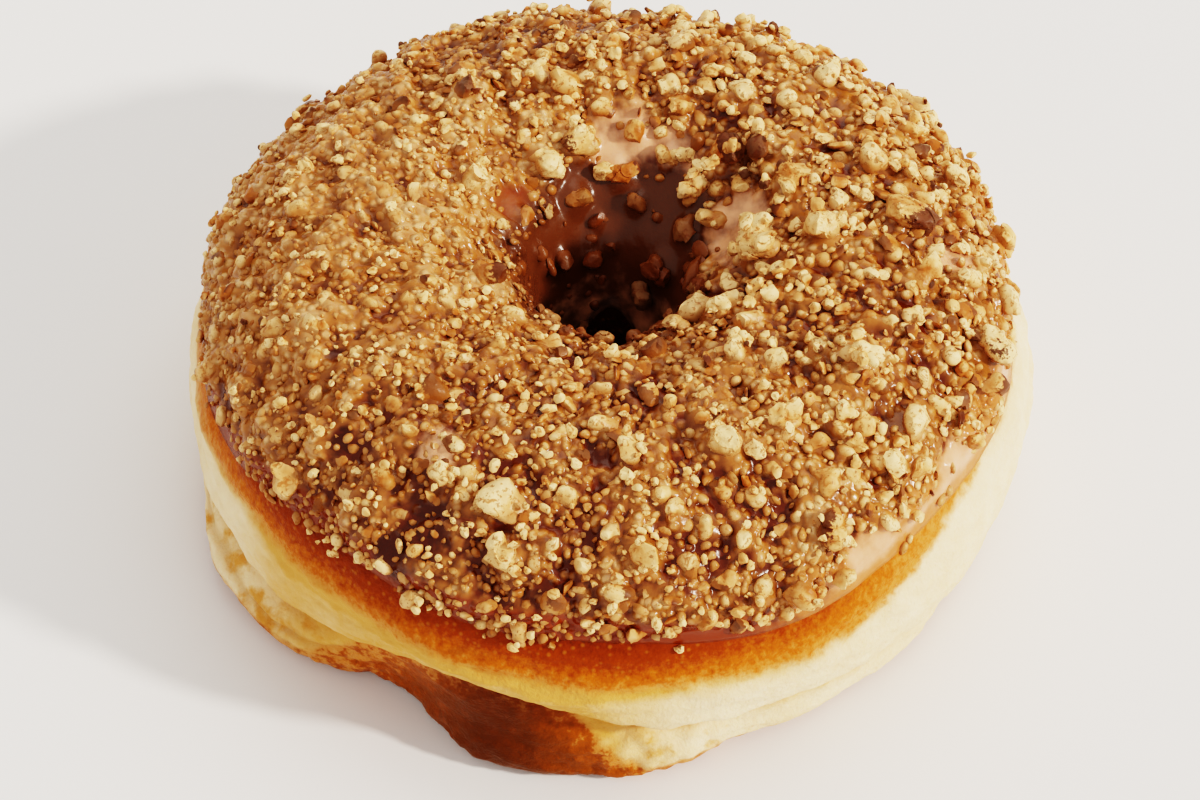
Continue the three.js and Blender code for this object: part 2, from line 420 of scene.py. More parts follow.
def closed_tube(name: str, points: np.ndarray, values: dict[str, np.ndarray]) -> bpy.types.Object:
    """A piece bent from a flat grid into a ring whose edges meet, around and across.

    Args:
        name: Name of the piece.
        points: Array of steps around by steps across by three, in millimetres.
        values: Arrays of steps around by steps across, stored at the points by name.

    Returns:
        The new object, with its doubled edges merged.
    """
    around, across = points.shape[:2]
    blank = bmesh.new()
    bmesh.ops.create_grid(blank, x_segments=around, y_segments=across, size=1.0)
    mesh = bpy.data.meshes.new(name)
    blank.to_mesh(mesh)
    blank.free()
    flat = np.empty(len(mesh.vertices) * 3, np.float32)
    mesh.vertices.foreach_get("co", flat)
    flat = flat.reshape(-1, 3)
    i = np.rint((flat[:, 0] + 1) / 2 * around).astype(int) % around
    j = np.rint((flat[:, 1] + 1) / 2 * across).astype(int) % across
    mesh.vertices.foreach_set("co", (points[i, j] * MM).astype(np.float32).ravel())
    add_values(mesh, {key: table[i, j] for key, table in values.items()})
    bm = bmesh.new()
    bm.from_mesh(mesh)
    bmesh.ops.remove_doubles(bm, verts=bm.verts, dist=1e-3 * MM)
    bmesh.ops.recalc_face_normals(bm, faces=bm.faces)
    bm.to_mesh(mesh)
    bm.free()
    return new_piece(name, mesh)


# ---- Shader helpers ----


def srgb(code: str) -> tuple[float, float, float, float]:
    """An sRGB hex colour as the linear colour that a shader takes."""
    parts = [int(code[k : k + 2], 16) / 255 for k in (0, 2, 4)]
    linear = [p / 12.92 if p <= 0.04045 else ((p + 0.055) / 1.055) ** 2.4 for p in parts]
    return linear[0], linear[1], linear[2], 1.0


def per_metre(size: float) -> float:
    """The scale of a pattern whose features have this size in millimetres."""
    return 1 / (size * MM)


def fill_inputs(
    tree: bpy.types.NodeTree, node: bpy.types.Node, inputs: dict[str | int, object]
) -> None:
    """Links or sets some inputs of a node.

    Args:
        tree: The node tree.
        node: The node.
        inputs: A socket to link from, or a plain value, for each input by name or number.
    """
    for key, value in inputs.items():
        if isinstance(value, bpy.types.NodeSocket):
            tree.links.new(value, node.inputs[key])
        else:
            node.inputs[key].default_value = value


def add_node(
    tree: bpy.types.NodeTree,
    kind: str,
    settings: dict[str, object] | None = None,
    inputs: dict[str | int, object] | None = None,
) -> bpy.types.Node:
    """Adds a node, sets its properties, and links or sets its inputs.

    Args:
        tree: The node tree.
        kind: Blender's name of the node's class.
        settings: Properties of the node. The stops of a colour ramp go under "stops".
        inputs: A socket to link from, or a plain value, for each input by name or number.

    Returns:
        The new node.
    """
    node = tree.nodes.new(kind)
    for key, value in (settings or {}).items():
        if key == "stops":
            ramp_stops = node.color_ramp.elements
            while len(ramp_stops) < len(value):
                ramp_stops.new(0.5)
            for stop, (place, code) in zip(ramp_stops, value):
                stop.position = place
                stop.color = srgb(code)
        else:
            setattr(node, key, value)
    fill_inputs(tree, node, inputs or {})
    return node


def new_material(
    name: str, attributes: tuple[str, ...] = ()
) -> tuple[bpy.types.Material, bpy.types.Node, bpy.types.NodeSocket, list[bpy.types.NodeSocket]]:
    """A material with a principled shader, and what its patterns read.

    Args:
        name: Name of the material.
        attributes: Names of the numbers at the mesh's points that it reads.

    Returns:
        The material, its shader, the place on the object, and the number of each attribute.
    """
    material = bpy.data.materials.new(name)
    material.use_nodes = True
    tree = material.node_tree
    tree.nodes.clear()
    shader = add_node(tree, "ShaderNodeBsdfPrincipled")
    add_node(tree, "ShaderNodeOutputMaterial", None, {"Surface": shader.outputs[0]})
    place = add_node(tree, "ShaderNodeTexCoord").outputs["Object"]
    numbers = [
        add_node(tree, "ShaderNodeAttribute", {"attribute_name": key}).outputs["Fac"]
        for key in attributes
    ]
    return material, shader, place, numbers


# ---- Finishes ----


@dataclass(frozen=True)
class FriedDough:
    """Yeast dough fried in oil: browned where the oil reached it, pale where it floated clear."""

    pale: str = "FADFB6"
    # The band's deeper tone, which also carries painted shade on the front and left
    pale_deep: str = "D69E56"
    # Painted shade in the crease where the band folds in
    crease: str = "B06E20"
    border: str = "CE8444"
    singed: str = "C0661A"
    blotch: str = "D08C3C"
    crust: str = "96400A"
    crust_deep: str = "7C3006"
    blister: str = "C47A30"
    blister_deep: str = "A85614"
    flap: str = "86460E"
    # Darkest brown: the crust's deepest tone, and the painted shade in the flap's middle
    flap_dark: str = "4A2004"
    roughness: float = 0.5
    oiliness: float = 0.14  # how much smoother the browned parts are
    border_from: float = -1.2  # millimetres from the border at which the browning starts
    border_to: float = 0.6  # and at which it is full
    crust_reach: float = 7.0  # millimetres over which the crust deepens in colour
    under_reach: float = 6.0
    wander: float = 2.0  # how far the speckle pushes the border about, in millimetres
    flecks: float = 1.5  # how strongly the speckle flecks the browned underside
    grain: float = 0.5  # how strongly the fine grain does, and the crust

    def build(self) -> bpy.types.Material:
        """Soft cream skin and oily brown crust, with a ragged border between them."""
        material, shader, place, numbers = new_material(
            "fried_yeast_dough",
            ("crust_mm", "under_mm", "golden", "flap", "rich", "crease", "mottle"),
        )
        crust_mm, under_mm, golden, flap, rich, crease, mottle = numbers
        tree = material.node_tree
        # The speckle, the broad patches, the fine grain, the blotches and the pores: millimetres,
        # detail and roughness. The pores are drawn at half a millimetre so that they show.
        speckle, patches, grain, blotches, pores = (
            add_node(
                tree, "ShaderNodeTexNoise", None,
                {"Vector": place, "Scale": per_metre(size), "Detail": detail, "Roughness": rough},
            ).outputs["Fac"]
            for size, detail, rough in (
                (1.6, 5.0, 0.62), (7.0, 3.0, 0.5), (0.8, 2.0, 0.7), (3.4, 4.0, 0.6), (0.55, 3.0, 0.6),
            )
        )
        wander, flecks, grain = (
            add_node(
                tree, "ShaderNodeMath", {"operation": "MULTIPLY_ADD"},
                {0: pattern, 1: amount, 2: -amount / 2},
            ).outputs[0]
            for pattern, amount in (
                (speckle, self.wander), (speckle, self.flecks), (grain, self.grain),
            )
        )
        # Browning spreads from the border in millimetres, pushed about by the speckle.
        shares, depths = [], []
        for reach, full in ((crust_mm, self.crust_reach), (under_mm, self.under_reach)):
            ragged = add_node(
                tree, "ShaderNodeMath", {"operation": "ADD"}, {0: reach, 1: wander}
            ).outputs[0]
            shares.append(add_node(
                tree, "ShaderNodeMapRange", {"interpolation_type": "SMOOTHSTEP"},
                {"Value": ragged, "From Min": self.border_from, "From Max": self.border_to},
            ).outputs[0])
            depths.append(add_node(
                tree, "ShaderNodeMapRange", None, {"Value": ragged, "From Max": full}
            ).outputs[0])
        darker = add_node(
            tree, "ShaderNodeMath", {"operation": "SUBTRACT"}, {0: 1.0, 1: golden}
        ).outputs[0]
        depths = [
            add_node(tree, "ShaderNodeMath", {"operation": how}, {0: depth, 1: by}).outputs[0]
            for depth, how, by in zip(depths, ("MULTIPLY", "ADD"), (darker, flecks))
        ]
        spots = add_node(
            tree, "ShaderNodeTexVoronoi", None, {"Vector": place, "Scale": per_metre(0.95)}
        ).outputs["Distance"]
        blistered = add_node(
            tree, "ShaderNodeMapRange", None,
            {"Value": spots, "From Min": 0.12, "From Max": 0.34, "To Min": 0.4, "To Max": 0.0},
        ).outputs[0]
        crust_tones = [
            (0.0, self.border), (0.16, self.singed), (0.42, self.crust), (0.8, self.crust_deep),
            (1.0, self.flap_dark),
        ]
        under_tones = [(0.0, self.border), (0.25, self.blister_deep), (0.85, self.flap)]
        browns = []
        # The underside's browns take the flap's painted shade in its middle
        for depth, tones, share, code in (
            (depths[0], crust_tones, blistered, self.blister),
            (depths[1], under_tones, flap, self.flap_dark),
        ):
            depth = add_node(
                tree, "ShaderNodeMath", {"operation": "ADD"}, {0: depth, 1: grain}
            ).outputs[0]
            brown = add_node(
                tree, "ShaderNodeValToRGB", {"stops": tones}, {"Fac": depth}
            ).outputs["Color"]
            browns.append(add_node(
                tree, "ShaderNodeMix", {"data_type": "RGBA"},
                {"Factor": share, "A": brown, "B": srgb(code)},
            ).outputs["Result"])
        # The band's deeper tone with its painted shade, broken up by the patches and the speckle
        for pattern, amount in ((patches, 0.7), (speckle, 0.5)):
            rich = add_node(
                tree, "ShaderNodeMath", {"operation": "MULTIPLY_ADD"},
                {0: pattern, 1: amount, 2: rich},
            ).outputs[0]
        rich = add_node(
            tree, "ShaderNodeMapRange", None, {"Value": rich, "From Min": 0.45, "From Max": 1.5}
        ).outputs[0]
        # The oil browned the roll and the fold in patches only.
        mottle = add_node(
            tree, "ShaderNodeMath", {"operation": "ADD"}, {0: mottle, 1: blotches}
        ).outputs[0]
        mottle = add_node(
            tree, "ShaderNodeMapRange", {"interpolation_type": "SMOOTHSTEP"},
            {"Value": mottle, "From Min": 0.86, "From Max": 1.08, "To Max": 0.9},
        ).outputs[0]
        # Over the cream: the deeper tone with its painted shade, the crease's painted shade, the
        # blotches and the browning
        colour = srgb(self.pale)
        for share, tone in (
            (rich, srgb(self.pale_deep)), (crease, srgb(self.crease)), (mottle, srgb(self.blotch)),
            (shares[1], browns[1]), (shares[0], browns[0]),
        ):
            colour = add_node(
                tree, "ShaderNodeMix", {"data_type": "RGBA"},
                {"Factor": share, "A": colour, "B": tone},
            ).outputs["Result"]
        browned = add_node(
            tree, "ShaderNodeMath", {"operation": "MAXIMUM"}, {0: shares[0], 1: shares[1]}
        ).outputs[0]
        oily = add_node(
            tree, "ShaderNodeMapRange", None,
            {"Value": browned, "To Min": self.roughness, "To Max": self.roughness - self.oiliness},
        ).outputs[0]
        skin = add_node(
            tree, "ShaderNodeBump", None,
            {"Height": pores, "Strength": 0.8, "Distance": 0.24 * MM},
        ).outputs["Normal"]
        blisters = add_node(
            tree, "ShaderNodeBump", None,
            {"Height": blistered, "Strength": 0.5, "Distance": 0.15 * MM, "Normal": skin},
        ).outputs["Normal"]
        fill_inputs(tree, shader, {
            "Base Color": colour, "Roughness": oily, "Normal": blisters, "IOR": 1.45,
            "Specular IOR Level": 0.11, "Subsurface Weight": 0.1,
            "Subsurface Radius": (1.0, 0.45, 0.18), "Subsurface Scale": 1.4 * MM,
        })
        return material


@dataclass(frozen=True)
class SugarGlaze:
    """Poured caramel-coloured sugar glaze: clear brown where wet, milky where it has set thin."""

    hollow: str = "5C2408"
    tan: str = "AC6E38"
    crown: str = "D8A878"
    film: str = "E2A882"
    pool: str = "4E1C08"
    # Painted shade down in the hole
    pit: str = "62361E"
    amber: str = "803206"
    thin: str = "C27A42"
    roughness: float = 0.24

    def build(self) -> bpy.types.Material:
        """A glossy skin that shines on its lumps, and hides the grain under it in brown."""
        material, shader, place, numbers = new_material(
            "poured_sugar_glaze", ("height", "grainy", "amber", "pool", "pit", "thin", "milky")
        )
        height, grainy, *shares = numbers
        tree = material.node_tree
        cloud, ripple = (
            add_node(
                tree, "ShaderNodeTexNoise", None,
                {"Vector": place, "Scale": per_metre(size), "Detail": detail},
            ).outputs["Fac"]
            for size, detail in ((2.6, 4.0), (0.8, 2.0))
        )
        # Grains under the glaze, a little over a millimetre across, as rounded pebbles.
        cells = add_node(
            tree, "ShaderNodeTexVoronoi", {"feature": "SMOOTH_F1"},
            {"Vector": place, "Scale": per_metre(1.25), "Smoothness": 0.25},
        ).outputs["Distance"]
        pebbles = add_node(
            tree, "ShaderNodeMapRange", {"interpolation_type": "SMOOTHSTEP"},
            {"Value": cells, "From Min": 0.15, "From Max": 0.62, "To Min": 1.0, "To Max": 0.0},
        ).outputs[0]
        pebbles = add_node(
            tree, "ShaderNodeMath", {"operation": "MULTIPLY"}, {0: pebbles, 1: grainy}
        ).outputs[0]
        # The higher a place stands, the thinner and paler is the glaze on it. Its height value also
        # carries painted light and shade by side of the ring.
        lifted: bpy.types.NodeSocket | float = -0.5
        for pattern, amount in ((cloud, 0.8), (pebbles, 0.5), (height, 0.6)):
            lifted = add_node(
                tree, "ShaderNodeMath", {"operation": "MULTIPLY_ADD"},
                {0: pattern, 1: amount, 2: lifted},
            ).outputs[0]
        colour = add_node(
            tree, "ShaderNodeValToRGB",
            {"stops": [(0.0, self.hollow), (0.5, self.tan), (1.0, self.crown)]},
            {"Fac": lifted},
        ).outputs["Color"]
        codes = (self.amber, self.pool, self.pit, self.thin, self.film)
        for share, code, soft in zip(shares, codes, (0.25, 0.35, 0.35, 0.35, 0.3)):
            share = add_node(
                tree, "ShaderNodeMath", {"operation": "ADD"}, {0: share, 1: cloud}
            ).outputs[0]
            share = add_node(
                tree, "ShaderNodeMapRange", {"interpolation_type": "SMOOTHSTEP"},
                {"Value": share, "From Min": 1.0 - soft, "From Max": 1.0 + soft},
            ).outputs[0]
            colour = add_node(
                tree, "ShaderNodeMix", {"data_type": "RGBA"},
                {"Factor": share, "A": colour, "B": srgb(code)},
            ).outputs["Result"]
        bump = add_node(
            tree, "ShaderNodeBump", None,
            {"Height": ripple, "Strength": 0.35, "Distance": 0.15 * MM},
        ).outputs["Normal"]
        bump = add_node(
            tree, "ShaderNodeBump", None,
            {"Height": pebbles, "Strength": 0.8, "Distance": 0.4 * MM, "Normal": bump},
        ).outputs["Normal"]
        fill_inputs(tree, shader, {
            "Base Color": colour, "Roughness": self.roughness, "Normal": bump, "IOR": 1.49,
            "Specular IOR Level": 0.38, "Subsurface Weight": 0.1,
            "Subsurface Radius": (1.0, 0.4, 0.15), "Subsurface Scale": 1.2 * MM,
        })
        return material


@dataclass(frozen=True)
class ChoppedNut:
    """Chopped roasted nuts: cream flesh with brown specks, and dark skin on some sides."""

    name: str
    palest: str = "F4CC94"
    flesh: str = "E2AC70"
    toasted: str = "B06428"
    vein: str = "A05820"
    speck: str = "7A3E16"
    skin: str = "55240E"
    syrup: str = "A46634"
    # Painted shade on the nuts down in the hole
    drowned: str = "6A3210"
    syrup_share: float = 0.8
    roughness: float = 0.5
    wetness: float = 0.25  # how much smoother it is under syrup

    def build(self) -> bpy.types.Material:
        """Dry and crumbly on top, stained and shiny with syrup where it sits in the glaze."""
        material, shader, place, numbers = new_material(
            self.name, ("tint", "skin", "bare", "drowned")
        )
        tint, skin, bare, drowned = numbers
        tree = material.node_tree
        # The clouds of toast, the grit and the veins: millimetres, detail, roughness, distortion.
        clouds, grit, veins = (
            add_node(
                tree, "ShaderNodeTexNoise", None,
                {"Vector": place, "Scale": per_metre(size), "Detail": detail, "Roughness": rough,
                 "Distortion": bent},
            ).outputs["Fac"]
            for size, detail, rough, bent in (
                (1.4, 3.0, 0.5, 0.0), (0.62, 2.0, 0.7, 0.0), (1.0, 3.0, 0.65, 0.9),
            )
        )
        # The tint also holds painted shade in a grain's crevices and painted light on its knobs
        shade = add_node(
            tree, "ShaderNodeMath", {"operation": "MULTIPLY_ADD"}, {0: clouds, 1: 1.5, 2: -0.72}
        ).outputs[0]
        shade, torn = (
            add_node(tree, "ShaderNodeMath", {"operation": "ADD"}, {0: a, 1: b}).outputs[0]
            for a, b in ((shade, tint), (skin, grit))
        )
        colour = add_node(
            tree, "ShaderNodeValToRGB",
            {"stops": [(0.0, self.palest), (0.5, self.flesh), (1.0, self.toasted)]},
            {"Fac": shade},
        ).outputs["Color"]
        # What lies over the flesh, from the specks to the painted shade on the nuts down in the
        # hole: its pattern, how that is spread, from which value to which, its shares and colour.
        for pattern, spread, start, full, least, most, code in (
            (grit, "LINEAR", 0.59, 0.67, 0.0, 0.7, self.speck),
            (veins, "SMOOTHSTEP", 0.54, 0.66, 0.0, 0.75, self.vein),
            (torn, "LINEAR", 1.0, 1.12, 0.0, 0.92, self.skin),
            (bare, "SMOOTHSTEP", 0.1, 1.0, self.syrup_share, 0.0, self.syrup),
            (drowned, "LINEAR", 0.0, 1.0, 0.0, 1.0, self.drowned),
        ):
            share = add_node(
                tree, "ShaderNodeMapRange", {"interpolation_type": spread},
                {"Value": pattern, "From Min": start, "From Max": full,
                 "To Min": least, "To Max": most},
            ).outputs[0]
            colour = add_node(
                tree, "ShaderNodeMix", {"data_type": "RGBA"},
                {"Factor": share, "A": colour, "B": srgb(code)},
            ).outputs["Result"]
        dry = add_node(
            tree, "ShaderNodeMapRange", None,
            {"Value": bare, "To Min": self.roughness - self.wetness, "To Max": self.roughness},
        ).outputs[0]
        bump = add_node(
            tree, "ShaderNodeBump", None,
            {"Height": grit, "Strength": 0.5, "Distance": 0.16 * MM},
        ).outputs["Normal"]
        fill_inputs(tree, shader, {
            "Base Color": colour, "Roughness": dry, "Normal": bump, "IOR": 1.47,
            "Specular IOR Level": 0.3,
        })
        return material


@dataclass(frozen=True)
class MattPaper:
    """Matt white paper, which gives a soft, even ground with no shine."""

    colour: str = "F2F0EF"
    roughness: float = 0.85

    def build(self) -> bpy.types.Material:
        """A faint unevenness keeps the sheet from looking like a flat fill."""
        material, shader, place, _ = new_material("matt_white_paper")
        tree = material.node_tree
        fibres = add_node(
            tree, "ShaderNodeTexNoise", None,
            {"Vector": place, "Scale": per_metre(1.5), "Detail": 4.0},
        ).outputs["Fac"]
        bump = add_node(
            tree, "ShaderNodeBump", None,
            {"Height": fibres, "Strength": 0.15, "Distance": 0.1 * MM},
        ).outputs["Normal"]
        fill_inputs(tree, shader, {
            "Base Color": srgb(self.colour), "Roughness": self.roughness, "Normal": bump,
        })
        return material


# ---- The dough ring ----


@dataclass
class DoughRing:
    """The fried dough ring: pale band, creases, browned shoulder, lip and flat foot.

    Places across it are counted in turns of its section, from the foot.
    """

    form: RingForm
    steps_around: int = 560
    steps_across: tuple[int, int, int] = (10, 102, 48)  # under the foot, up the side, and over
    side: Span = (2.0, 10.2)  # the turns between which the side shows
    relief_from: Span = (0.05, 1.6)  # heights over which the relief sets in above the foot

    crease_depth: float = 1.5
    crease_least: float = 0.2  # how far the crease is shut at the back
    crease_shut: tuple[Stretch, ...] = (Stretch(-192, -100, 25, 0.8), Stretch(-80, -60, 14, 0.7))
    crease_line: Span = (5.1, 0.2)  # the turn that it follows, and its half width
    crease_wander: Relief = Relief(0.35, 9.0, 3.0, (1, 1, 0.2))
    crease_shade: float = 0.75  # how strongly its painted shade shows in it
    second_shut: Stretch = Stretch(-185, -135, 15, 0.55)
    second_line: Span = (4.1, 0.16)

    pale_fold: Hump = Hump(-83, 12, 1.1)
    fold_turns: tuple[Span, Span] = ((2.4, 3.2), (4.3, 5.0))
    pleats: Relief = Relief(0.7, 2.4, 4.0, (1.2, 1, 0.8))
    pleated: Hump = Hump(-84, 16)
    rags: Relief = Relief(0.45, 1.8, 5.0)
    ragged: Stretch = Stretch(-133, -90, 8)
    rim_turns: tuple[Span, Span] = ((2.4, 3.0), (3.2, 4.2))
    wrinkles: tuple[Relief, ...] = (
        Relief(0.22, 1.7, 6.0, (0.6, 0.6, 1.5)),
        Relief(0.45, 5.0, 8.0, (0.5, 0.5, 1.6)),
        Relief(0.08, 0.8, 9.0, (0.7, 0.7, 1.3)),
    )
    wrinkled_turns: tuple[Span, Span] = ((2.6, 3.6), (8.4, 9.4))

    band_turn: float = 7.0  # below it the underside's browning counts, above it the shoulder's
    clear: float = -6.0  # millimetres from the browning of what can't be browned
    border_height: float = 20.4  # of the pale band's upper edge
    border_humps: tuple[Hump, ...] = (Hump(0, 80, 4.5), Hump(-84, 32, -1.6), Hump(-58, 23, -2.4))
    border_wander: Relief = Relief(0.35, 11.0, 7.0)
    crown: Span = (12.0, 12.0)  # from this turn on, the dough lies this deep in the browning
    golden: tuple[Hump, ...] = (Hump(-36, 58, 0.84), Hump(-178, 45, 0.6))

    foot_edge: float = 1.3  # how far the browned foot shows above the paper
    foot_humps: tuple[Hump, ...] = (Hump(95, 95, 1.6), Hump(-152, 48, 2.0), Hump(-78, 22, 1.2))
    foot_turn: float = 2.6  # below it lies the foot's flat underside
    foot_browning: float = 2.4  # how deep in the brown that lies
    flap: Stretch = Stretch(-122, -99, 18)
    flap_top: float = 8.9  # where the browned flap meets the band at the front
    burnt_least: float = 0.22
    burnt: Hump = Hump(-103, 26, 0.78)
    burnt_most: float = 4.8  # how deep in the brown the underside gets
    dark: Hump = Hump(-105, 17, 0.75)  # painted shade in the flap's concave middle
    dark_turns: tuple[Span, Span] = ((2.7, 3.4), (4.8, 5.6))

    mottles: tuple[Hump, ...] = (Hump(-150, 50, 0.46), Hump(-78, 30, 0.36))
    mottled_turns: tuple[Span, Span] = ((2.0, 3.0), (4.4, 5.2))
    rich: Stretch = Stretch(-134, -94, 18, 0.8)  # painted shade: where the band is deeper in colour all over, at the front
    rich_border: Span = (-0.4, 1.1)  # its middle, in millimetres from the border, and its width
    # Deeper near the border: a little all round, and more as painted shade on the front and left
    rich_least: float = 0.12
    shaded: Stretch = Stretch(-200, -72, 20, 0.48)
    crease_shade_line: Span = (5.2, 0.6)  # the turn of the line of painted shade over the crease, and its width
    creased: Stretch = Stretch(-190, -60, 30, 0.4)

    def build(self) -> bpy.types.Object:
        """Shapes the ring and dresses it.

        Returns:
            The finished piece.
        """
        theta = np.arange(self.steps_around) * FULL_TURN / self.steps_around
        bounds = (0.0, *self.side, float(self.form.knot_count))
        along = np.concatenate([
            np.linspace(start, end, steps, endpoint=False)
            for start, end, steps in zip(bounds, bounds[1:], self.steps_across)
        ])
        points = placed(theta[:, None], self.form.sections(theta, along))
        normals = sheet_normals(points, closed_across=True)
        off_foot = ramp(points[..., 2], *self.relief_from)
        relief = dough_lumps(points)
        angle, place = np.meshgrid(theta, along, indexing="ij")
        crease = self.crease(points, angle, place)
        relief = relief - crease * self.crease_depth + self.folds(points, angle, place)
        shaped = points + normals * (relief * off_foot)[..., None]
        shaped[..., 2] = np.maximum(shaped[..., 2], 0)
        piece = closed_tube("dough_skin", shaped, {
            **self.browning(shaped, angle, place), "crease": self.crease_shade * crease,
        })
        piece.data.materials.append(FriedDough().build())
        return piece

    def crease(self, points: np.ndarray, angle: np.ndarray, place: np.ndarray) -> np.ndarray:
        """How far the crease under the pale band is shut at each point, from 0 to 1.

        Args:
            points: Points of the plain form.
            angle: Angle around the ring of each.
            place: Place on the section of each, in turns.

        Returns:
            One share for each point.
        """
        wander = self.crease_wander.at(points)
        line = bell(place - wander, *self.crease_line)
        second = bell(place + wander, *self.second_line)
        shut = self.crease_least + total(self.crease_shut, angle)
        return np.clip(shut * line + self.second_shut.over(angle) * second, 0, 1)

    def folds(self, points: np.ndarray, angle: np.ndarray, place: np.ndarray) -> np.ndarray:
        """The pale fold at the end of the flap, the ragged rim, and the wrinkles of the skin.

        Args:
            points: Points of the plain form.
            angle: Angle around the ring of each.
            place: Place on the section of each, in turns.

        Returns:
            How far each point moves out, in millimetres.
        """
        low, rim, upright = (
            shelf(place, *turns) for turns in (self.fold_turns, self.rim_turns, self.wrinkled_turns)
        )
        fold = self.pale_fold.over(angle) * low
        pleats = self.pleats.at(points) * self.pleated.over(angle) * low
        ragged = self.rags.at(points) * self.ragged.over(angle) * rim
        return fold + pleats + ragged + sum(w.at(points) for w in self.wrinkles) * upright

    def browning(
        self, points: np.ndarray, angle: np.ndarray, place: np.ndarray
    ) -> dict[str, np.ndarray]:
        """How far each point lies inside the browned parts.

        Args:
            points: Points of the finished skin.
            angle: Angle around the ring of each.
            place: Place on the section of each, in turns.

        Returns:
            Millimetres inside the shoulder's browning and the underside's, and from 0 to 1 how deep the
            painted shade in the flap's middle is, how mottled the roll, how deep the band's tone with
            its painted shade is, and how golden the crust.
        """
        height = points[..., 2]
        wander = self.border_wander.at(points)
        border = self.border_height + total(self.border_humps, angle) + wander
        crust = np.where(place < self.band_turn, self.clear, height - border)
        from_turn, deep = self.crown
        crust = np.where(place > from_turn, deep, crust)
        edge = self.foot_edge + total(self.foot_humps, angle) + wander
        raised = self.form.flap.fold * self.form.flap.share(angle)
        edge = edge + (self.flap_top + raised - edge) * self.flap.over(angle)
        under = np.where(place < self.band_turn, edge - height, self.clear)
        burnt = np.minimum(under * (self.burnt_least + self.burnt.over(angle)), self.burnt_most)
        under = np.where(under > 0, burnt, under)
        under = np.where(place < self.foot_turn, np.maximum(under, self.foot_browning), under)
        shaded = self.rich_least + self.shaded.over(angle)
        at_border = shaded * bell(crust, *self.rich_border)
        at_crease = self.creased.over(angle) * bell(place, *self.crease_shade_line)
        return {
            "crust_mm": crust,
            "under_mm": under,
            "flap": self.dark.over(angle) * shelf(place, *self.dark_turns),
            "mottle": total(self.mottles, angle) * shelf(place, *self.mottled_turns),
            "rich": self.rich.over(angle) + at_border + at_crease,
            "golden": total(self.golden, angle),
        }


# ---- The glaze coat ----


class Spot(Enum):
    """What a bare spot in the topping shows."""

    POOL = "pool"
    PIT = "pit"
    FILM = "milky"
    WET = "amber"


@dataclass(frozen=True)
class BareSpot:
    """A spot of bare glaze: angle around, angle over, radius in millimetres, and its look."""

    around: float
    over: float
    radius: float
    look: Spot
    bareness: float = 1.0  # share of the nuts that it lacks


BARE_SPOTS = (
    BareSpot(22, 125, 5.5, Spot.FILM),
    BareSpot(6, 128, 3.6, Spot.FILM, 0.8),
    BareSpot(84, 119, 6.0, Spot.FILM),
    BareSpot(66, 121, 5.0, Spot.FILM, 0.9),
    # The pit spots are painted shade on the hole's far wall
    BareSpot(42, 138, 6.0, Spot.PIT),
    BareSpot(58, 138, 7.0, Spot.PIT),
    BareSpot(82, 138, 7.0, Spot.PIT),
    BareSpot(106, 136, 6.0, Spot.PIT),
    BareSpot(143, 130, 4.2, Spot.WET),
    BareSpot(-117, 53, 4.2, Spot.POOL, 0.5),
    BareSpot(-121, 40, 3.2, Spot.POOL, 0.6),
    BareSpot(-137, 61, 2.4, Spot.POOL, 0.8),
    BareSpot(-78, 107, 3.4, Spot.POOL, 0.6),
    BareSpot(-122, 75, 3.0, Spot.FILM, 0.3),
    BareSpot(0, 61, 3.4, Spot.FILM, 0.6),
    BareSpot(-32, 30, 6.0, Spot.FILM),
    BareSpot(-52, 31, 5.0, Spot.FILM),
    BareSpot(-14, 31, 5.0, Spot.FILM),
)


